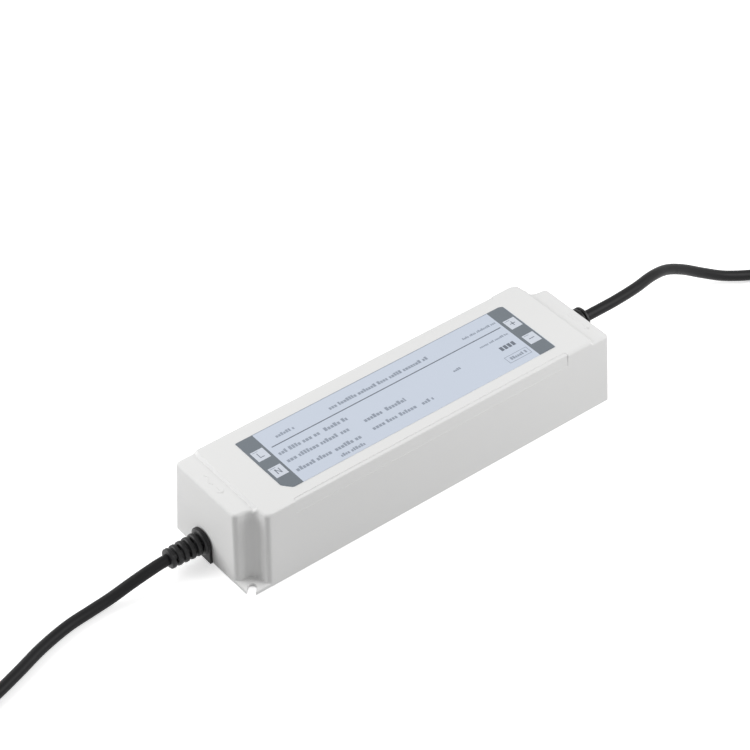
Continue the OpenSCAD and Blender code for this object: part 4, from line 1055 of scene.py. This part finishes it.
class SUPPLY_OT_label(bpy.types.Operator):
    """Make the label: a pale field, grey end bands with terminal signs, and plain dashes for print"""

    bl_idname = "supply.make_label"
    bl_label = "Label"

    def execute(self, context):
        s = in_mm(context.scene.supply_label)
        base = in_mm(context.scene.supply_case).height
        smooth, inked = (
            dict(rough=rough, grain=900, patches=25, bump=0.000004, scratches=0.2, specular=0.15)
            for rough in ((0.54, 0.62), (0.56, 0.64))
        )
        field = finish("label_field", s.field_tint, (0.6, 0.655, 0.75), **smooth)
        band = finish("label_band", s.band_tint, 0.92, **smooth)
        ink = finish("label_print", s.print_tint, 0.85, **inked)
        dark = finish("label_dark_print", tuple(c * 0.55 for c in s.print_tint), **inked)
        paper = finish("label_squares", s.box_tint, 0.94, **smooth)
        low, top, half = base + 0.05, base + s.thickness, s.length / 2
        pieces = [slab(label_plan(s), base, top - FIELD_UNDER, field)]
        for x0, x1 in ((-half, s.band - half), (half - s.band, half)):
            pieces.append(slab(clipped(label_plan(s), x0, x1), low, top - BAND_UNDER, band))
        for at, sign in SIGNS.items():
            pieces.append(blocks([SQUARE], low, top - SQUARE_UNDER, paper, at))
            pieces.append(blocks(STROKES[sign], low, top, dark, at))
            if sign == "N":
                slant = [(at[0] + x, at[1] + y) for x, y in SLANT]
                pieces.append(slab(slant, low, top - SLANT_UNDER, dark))
            pieces.append(blocks([SIGN_RULE], low, top, ink, at))
        pieces.append(blocks([DARK_RULE], low, top, dark))
        draw = random.Random(11)
        letters = [rect for row in PRINT_ROWS for rect in letter_row(draw, *row)]
        rule = (-half + s.band, half - s.band, *LIGHT_RULE_ACROSS)
        pieces.append(blocks([rule, *letters, *FRAME], low, top, ink))
        pieces.append(blocks(BOLD, low, top, dark))
        dressed(joined("label", pieces), "rating_label")
        return {"FINISHED"}


# Strain relief and grommet

BORE_PLAY = 0.05
# Rows out from the wall with their insets, for the arched flange and its neck in the wall
FLANGE_ROWS = ((0, 0), (0.85, 0), (0.98, 0.05), (1.05, 0.18))
NECK_RADIUS, NECK_ROWS = 4.1, ((-1.95, 0), (0.2, 0))
BOSS_START, BOSS_EDGE, BOSS_ROUNDING = 0.9, 0.42, 0.16
RIB_START, RIB_HALF, RIB_GROWTH, RIB_TAPER = 3.3, 0.93, 1.045, 0.011
WEB_HALF, WEB_UNDER = 0.45, 1.0
GROMMET_BACK, GROMMET_GROOVE, GROMMET_NECK = -2.3, 0.75, 2.75


def rounded_profile(half, r0, r1, rounding, steps=5):
    """A closed (along, radius) profile with its two outer corners rounded."""
    out = [(-half, r0)]
    for cx, start in ((rounding - half, 180), (half - rounding, 90)):
        out += arc((cx, r1 - rounding), rounding, start, start - 90, steps)
    return out + [(half, r0)]


def arch(name, radius, foot, rows, material):
    """An arch drawn out along X through rows of (place, inset)."""
    rings = [[(x, y, z) for y, z in arch_plan(radius - inset, foot - inset)] for x, inset in rows]
    return loft(name, rings, [material])


def seal_rubber(s):
    return bpy.data.materials.get("seal_rubber") or finish(
        "seal_rubber", s.seal_tint, shade=(0.012, 0.012, 0.013), rough=(0.34, 0.48), grain=1800, patches=300,
        bump=0.00003, scratches=0.4, specular=0.3,
    )


class SUPPLY_OT_strain_relief(bpy.types.Operator):
    """Make the mains lead's strain relief: an arched flange and ribs with windows between them"""

    bl_idname = "supply.make_strain_relief"
    bl_label = "Strain relief"

    def execute(self, context):
        s, case = in_mm(context.scene.supply_leads), in_mm(context.scene.supply_case)
        rubber, foot, bore = seal_rubber(s), EXITS[WAY_IN][2], s.lead / 2 + BORE_PLAY
        flange = arch("flange", s.flange_radius, foot, FLANGE_ROWS, rubber)
        neck = arch("neck", NECK_RADIUS, foot, NECK_ROWS, rubber)
        edge, end = s.flange_radius - BOSS_EDGE, RIB_START - RIB_HALF - 0.6
        boss = [(BOSS_START, bore), (BOSS_START, edge)]
        boss += arc((BOSS_START + 0.22, edge - BOSS_ROUNDING), BOSS_ROUNDING, 90, 50, 3)
        boss += [(end - 0.1, s.rib_radius + 0.28), (end, s.rib_radius + 0.08), (end, bore)]
        boss = lathe("boss", boss, [rubber], sides=64)
        repeats = {"Count": s.rib_count, "Pitch": s.rib_pitch * MM, "Finish": rubber}
        ribs = lathe("rib", rounded_profile(RIB_HALF, bore, s.rib_radius, 0.6, 8), sides=64)
        ribs = moved(run_nodes(ribs, repeat_along_axis, Turn=0.0, **repeats), (RIB_START, 0, 0))
        for vertex in ribs.data.vertices:
            if vertex.co.yz.length > (bore + 0.01) * MM:
                vertex.co.yz *= RIB_GROWTH - RIB_TAPER * (vertex.co.x / MM - RIB_START)
        profile = rounded_profile(WEB_HALF, bore, s.rib_radius - WEB_UNDER, 0.1)
        starts = (90 - s.web_span / 2, 270 - s.web_span / 2)
        web = joined("web", [lathe("web", profile, sides=14, span=s.web_span, start=a) for a in starts])
        web = run_nodes(web, repeat_along_axis, Turn=math.pi / 2, **repeats)
        moved(web, (RIB_START - s.rib_pitch / 2, 0, 0))
        relief = joined("strain_relief", [flange, neck, boss, ribs, web])
        # Painted glint: the faces of the ribs and webs that look towards the lead's free end get a pale grey
        # finish. It stands in for the light they catch, since they lie in the ribs' shade.
        flanks = finish(
            "seal_flanks", s.flank_tint, 0.7, (0.55, 0.7), grain=1800, patches=300, bump=0.00003,
            scratches=0.2, specular=0.3,
        )
        relief.data.materials.append(flanks)
        last = RIB_START + (s.rib_count - 1) * s.rib_pitch
        for face in relief.data.polygons:
            if face.normal.x > 0.9 and 2 < face.center.x / MM < last:
                face.material_index = 1
        moved(relief, (-case.length / 2 - foot_setback(case), EXITS[WAY_IN][1], foot), 180)
        dressed(flat_faces_first(close_up(relief)), "input_strain_relief")
        return {"FINISHED"}


class SUPPLY_OT_grommet(bpy.types.Operator):
    """Make the round grommet with two rims for the low-voltage lead"""

    bl_idname = "supply.make_grommet"
    bl_label = "Grommet"

    def execute(self, context):
        s, case = in_mm(context.scene.supply_leads), in_mm(context.scene.supply_case)
        bore, radius, back, neck = s.lead / 2 + BORE_PLAY, s.grommet_radius, GROMMET_BACK, GROMMET_NECK
        groove = radius - GROMMET_GROOVE
        profile = [(back - 1.2, bore), (back - 1.2, neck - 0.2), (back - 1.0, neck), (back, neck + 0.25)]
        profile += [(back, neck), (0, neck)]
        profile += arc((0.2, radius - 0.2), 0.2, 180, 90, 3) + arc((0.7, radius - 0.3), 0.3, 90, 0, 5)
        profile += [(1.0, groove + 0.1), (1.1, groove), (1.5, groove), (1.6, groove + 0.1)]
        profile += arc((1.85, radius - 0.25), 0.25, 180, 90, 4) + arc((2.25, radius - 0.35), 0.35, 90, 0, 5)
        profile += [(2.6, 3.1), (2.5, 2.9), (2.5, 2.45), (2.6, 2.3), (2.6, bore)]
        across, height = EXITS[WAY_OUT][1:]
        face = case.length / 2 - case.draft * (height - radius) / case.height + foot_setback(case)
        grommet = moved(lathe("grommet", profile, [seal_rubber(s)], sides=56), (face, across, height))
        dressed(flat_faces_first(close_up(grommet)), "output_grommet")
        return {"FINISHED"}


# Inside parts, which keep their CAD meshes

COPPER = ((1.0, 0.35, 0.2), 260.0, (0.3, 0.11, 0.04))
TAPE = ((0.0, 1.0, 0.0), 60.0, (0.62, 0.47, 0.08))
BRUSHED = ((0.0, 0.15, 1.0), 420.0, (0.6, 0.6, 0.61))
WEAVE = ((1.0, 1.0, 0.0), 240.0, (0.05, 0.16, 0.06))
SLEEVE = ((0.0, 0.0, 1.0), 35.0, (0.03, 0.032, 0.05))
# For each slot: its nodes, tint, shade, roughness and what else its finish has
INNER = {
    "plate": ("bottom_plate", None, 0.95, (0.45, 0.55), dict(grain=1800, patches=20)),
    "potting": ("potting", (0.035, 0.035, 0.037), 1.7, (0.3, 0.6), dict(grain=700, patches=120, bump=0.0001)),
    "wire_brown": ("inner_live_wire", WIRE_TINTS["wire_brown"], 0.8, (0.3, 0.4), dict(coat=0.1)),
    "wire_blue": ("inner_neutral_wire", WIRE_TINTS["wire_blue"], 0.8, (0.3, 0.4), dict(coat=0.1)),
    "wire_red": ("inner_positive_wire", WIRE_TINTS["wire_red"], 0.8, (0.3, 0.4), dict(coat=0.1)),
    "wire_black": ("inner_negative_wire", WIRE_TINTS["wire_black"], 1.3, (0.3, 0.4), dict(coat=0.1)),
    "sheet": ("insulating_sheet", (0.75, 0.75, 0.68), 0.93, (0.25, 0.4), dict(grain=400)),
    "board": ("circuit_board", (0.035, 0.12, 0.045), 0.8, (0.3, 0.45), dict(bands=WEAVE, coat=0.3)),
    "moulded_black": (
        "fuse bridge_rectifier primary_transistor output_rectifier control_chip transformer_bobbin",
        (0.025, 0.025, 0.027), 1.5, (0.35, 0.55), dict(grain=1400, bump=0.00004),
    ),
    "disc_blue": (
        "varistor safety_capacitor", (0.03, 0.11, 0.38), 0.7, (0.15, 0.3),
        dict(grain=500, coat=0.5, bump=0.00006),
    ),
    "disc_green": (
        "thermistor", (0.04, 0.16, 0.06), 0.7, (0.2, 0.35),
        dict(grain=500, coat=0.4, bump=0.00006),
    ),
    "film_yellow": ("line_capacitor", (0.72, 0.5, 0.06), 0.85, (0.25, 0.4), dict(grain=900, coat=0.2)),
    "ferrite": (
        "choke_core transformer_core inductor_core", (0.06, 0.058, 0.056), 0.6, (0.5, 0.75),
        dict(grain=1100, bump=0.00008),
    ),
    "copper": (
        "choke_windings inductor_winding", (0.55, 0.22, 0.08), 0.8, (0.25, 0.4),
        dict(metallic=1.0, bands=COPPER, bump=0.0002),
    ),
    "tape_yellow": (
        "transformer_winding", (0.78, 0.6, 0.12), 0.9, (0.2, 0.35),
        dict(bands=TAPE, bump=0.00005),
    ),
    "sleeve_dark": (
        "bulk_capacitor output_capacitors", (0.02, 0.022, 0.04), 1.4, (0.2, 0.35),
        dict(bands=SLEEVE, coat=0.3),
    ),
    "aluminium": (
        "primary_heatsink secondary_heatsink", (0.7, 0.7, 0.71), 0.85, (0.3, 0.5),
        dict(metallic=1.0, bands=BRUSHED),
    ),
    "steel": ("heatsink_screws", (0.55, 0.55, 0.54), 0.8, (0.2, 0.4), dict(metallic=1.0)),
    "resistor_body": ("snubber_resistor", (0.5, 0.42, 0.3), 0.85, (0.3, 0.45), dict(coat=0.2)),
    "coupler_white": ("optocoupler", (0.72, 0.72, 0.7), 0.93, (0.35, 0.5), {}),
}


class SUPPLY_OT_inner_parts(bpy.types.Operator):
    """Give the bottom plate, the potting, the board and its parts their finishes"""

    bl_idname = "supply.finish_inner_parts"
    bl_label = "Inner parts"

    def execute(self, context):
        plate_tint = in_mm(context.scene.supply_case).plate_tint
        for slot, (nodes, tint, shade, rough, more) in INNER.items():
            material = finish("inner_" + slot, tint or plate_tint, shade, rough, **more)
            for node in nodes.split():
                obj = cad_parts[node]
                obj.data.materials.clear()
                obj.data.materials.append(material)
        return {"FINISHED"}


# Camera, floor and lamps

PICTURE = 750
EYE = (-0.39133, -0.49492, 0.58341)
LAMP_PLACES = {"key": (-0.32, 0.36, 0.262), "fill": (0.34, -0.33, 0.37)}
LAMP_SIZE = 0.42
FLOOR_REACH, FLOOR_HEIGHT, FLOOR_GLOW = 6000, -0.05, 0.45


class SUPPLY_OT_camera(bpy.types.Operator):
    """Place the camera at the photograph's viewing angle"""

    bl_idname = "supply.place_camera"
    bl_label = "Camera"

    def execute(self, context):
        focal, middle = 2400.0, (374.45, 381.6)
        right = Vector((0.78683, -0.617081, -0.01048))
        down = Vector((-0.409855, -0.509752, -0.75642))
        ahead = Vector((0.46143, 0.599469, -0.654002))
        camera = bpy.data.cameras.new("camera")
        camera.sensor_width = 36
        camera.lens = focal / PICTURE * camera.sensor_width
        camera.shift_x = (PICTURE / 2 - middle[0]) / PICTURE
        camera.shift_y = (middle[1] - PICTURE / 2) / PICTURE
        camera.clip_start, camera.clip_end = 0.05, 20
        obj = link_new("camera", camera)
        turn = Matrix((right, -down, -ahead)).transposed().to_4x4()
        obj.matrix_world = Matrix.Translation(EYE) @ turn
        context.scene.camera = obj
        return {"FINISHED"}


def white_for_the_camera(tree, lit, plain, output):
    """Gives out a second shader where the camera, a mirror or glass looks straight at it."""
    rays = add(tree, "ShaderNodeLightPath").outputs
    seen = maths(tree, "ADD", rays["Is Camera Ray"], rays["Is Glossy Ray"])
    seen = maths(tree, "ADD", seen, rays["Is Transmission Ray"], clamp=True)
    mix = add(tree, "ShaderNodeMixShader", {0: seen, 1: lit.outputs[0], 2: plain.outputs[0]})
    feed(tree, tree.nodes[output], {"Surface": mix.outputs[0]})


class SUPPLY_OT_stage(bpy.types.Operator):
    """Set the pale floor, the even white light and two lamps, at the back left and the front right"""

    bl_idname = "supply.set_stage"
    bl_label = "Stage"

    def execute(self, context):
        s = context.scene.supply_stage
        context.scene.view_settings.view_transform = "Standard"
        world = context.scene.world = bpy.data.worlds.new("studio")
        world.use_nodes = True
        tree = world.node_tree
        even = feed(tree, tree.nodes["Background"], {"Color": WHITE, "Strength": s.sky})
        white = add(tree, "ShaderNodeBackground", {"Color": WHITE, "Strength": 1.0})
        white_for_the_camera(tree, even, white, "World Output")
        material = bpy.data.materials.new("floor")
        material.use_nodes = True
        tree = material.node_tree
        tree.nodes.remove(tree.nodes["Principled BSDF"])
        plain = add(tree, "ShaderNodeBsdfDiffuse", {"Color": (*s.floor_tint, 1)})
        bright = add(tree, "ShaderNodeBsdfDiffuse", {"Color": WHITE})
        glow = add(tree, "ShaderNodeEmission", {"Strength": FLOOR_GLOW})
        both = add(tree, "ShaderNodeAddShader", {0: bright.outputs[0], 1: glow.outputs[0]})
        white_for_the_camera(tree, plain, both, "Material Output")
        corners = [(x * FLOOR_REACH, y * FLOOR_REACH) for x, y in ((-1, -1), (1, -1), (1, 1), (-1, 1))]
        mesh_object("floor", [(x, y, FLOOR_HEIGHT) for x, y in corners], [(0, 1, 2, 3)], [material])
        for name, place in LAMP_PLACES.items():
            lamp = bpy.data.lights.new(name, "AREA")
            lamp.size, lamp.energy = LAMP_SIZE, getattr(s, name)
            turn = Vector(place).to_track_quat("Z", "Y").to_matrix().to_4x4()
            link_new(name, lamp).matrix_world = Matrix.Translation(place) @ turn
        return {"FINISHED"}


class SUPPLY_PT_panel(bpy.types.Panel):
    """Sizes, colours and the steps that make the power supply"""

    bl_idname = "SUPPLY_PT_panel"
    bl_label = "Power supply"
    bl_space_type = "VIEW_3D"
    bl_region_type = "UI"
    bl_category = "Power supply"

    def draw(self, context):
        for title, group in SETTINGS.items():
            box = self.layout.box()
            box.label(text=title.replace("supply_", "").capitalize())
            for p in group.__annotations__:
                box.prop(getattr(context.scene, title), p)
        for operator in OPERATORS:
            self.layout.operator(operator.bl_idname)


SETTINGS = {
    "supply_case": CaseSettings,
    "supply_label": LabelSettings,
    "supply_leads": LeadSettings,
    "supply_stage": StageSettings,
}
OPERATORS = (
    SUPPLY_OT_camera,
    SUPPLY_OT_leads,
    SUPPLY_OT_case,
    SUPPLY_OT_label,
    SUPPLY_OT_strain_relief,
    SUPPLY_OT_grommet,
    SUPPLY_OT_inner_parts,
    SUPPLY_OT_stage,
)
CLASSES = (*SETTINGS.values(), *OPERATORS, SUPPLY_PT_panel)


def register():
    for item in CLASSES:
        bpy.utils.register_class(item)
    for name, group in SETTINGS.items():
        setattr(bpy.types.Scene, name, PointerProperty(type=group))


def unregister():
    for name in SETTINGS:
        delattr(bpy.types.Scene, name)
    for item in reversed(CLASSES):
        bpy.utils.unregister_class(item)


def main():
    register()
    bpy.ops.supply.place_camera()
    bpy.ops.supply.make_leads()
    bpy.ops.supply.make_case()
    bpy.ops.supply.make_label()
    bpy.ops.supply.make_strain_relief()
    bpy.ops.supply.make_grommet()
    bpy.ops.supply.finish_inner_parts()
    bpy.ops.supply.set_stage()


if __name__ == "__main__":
    main()
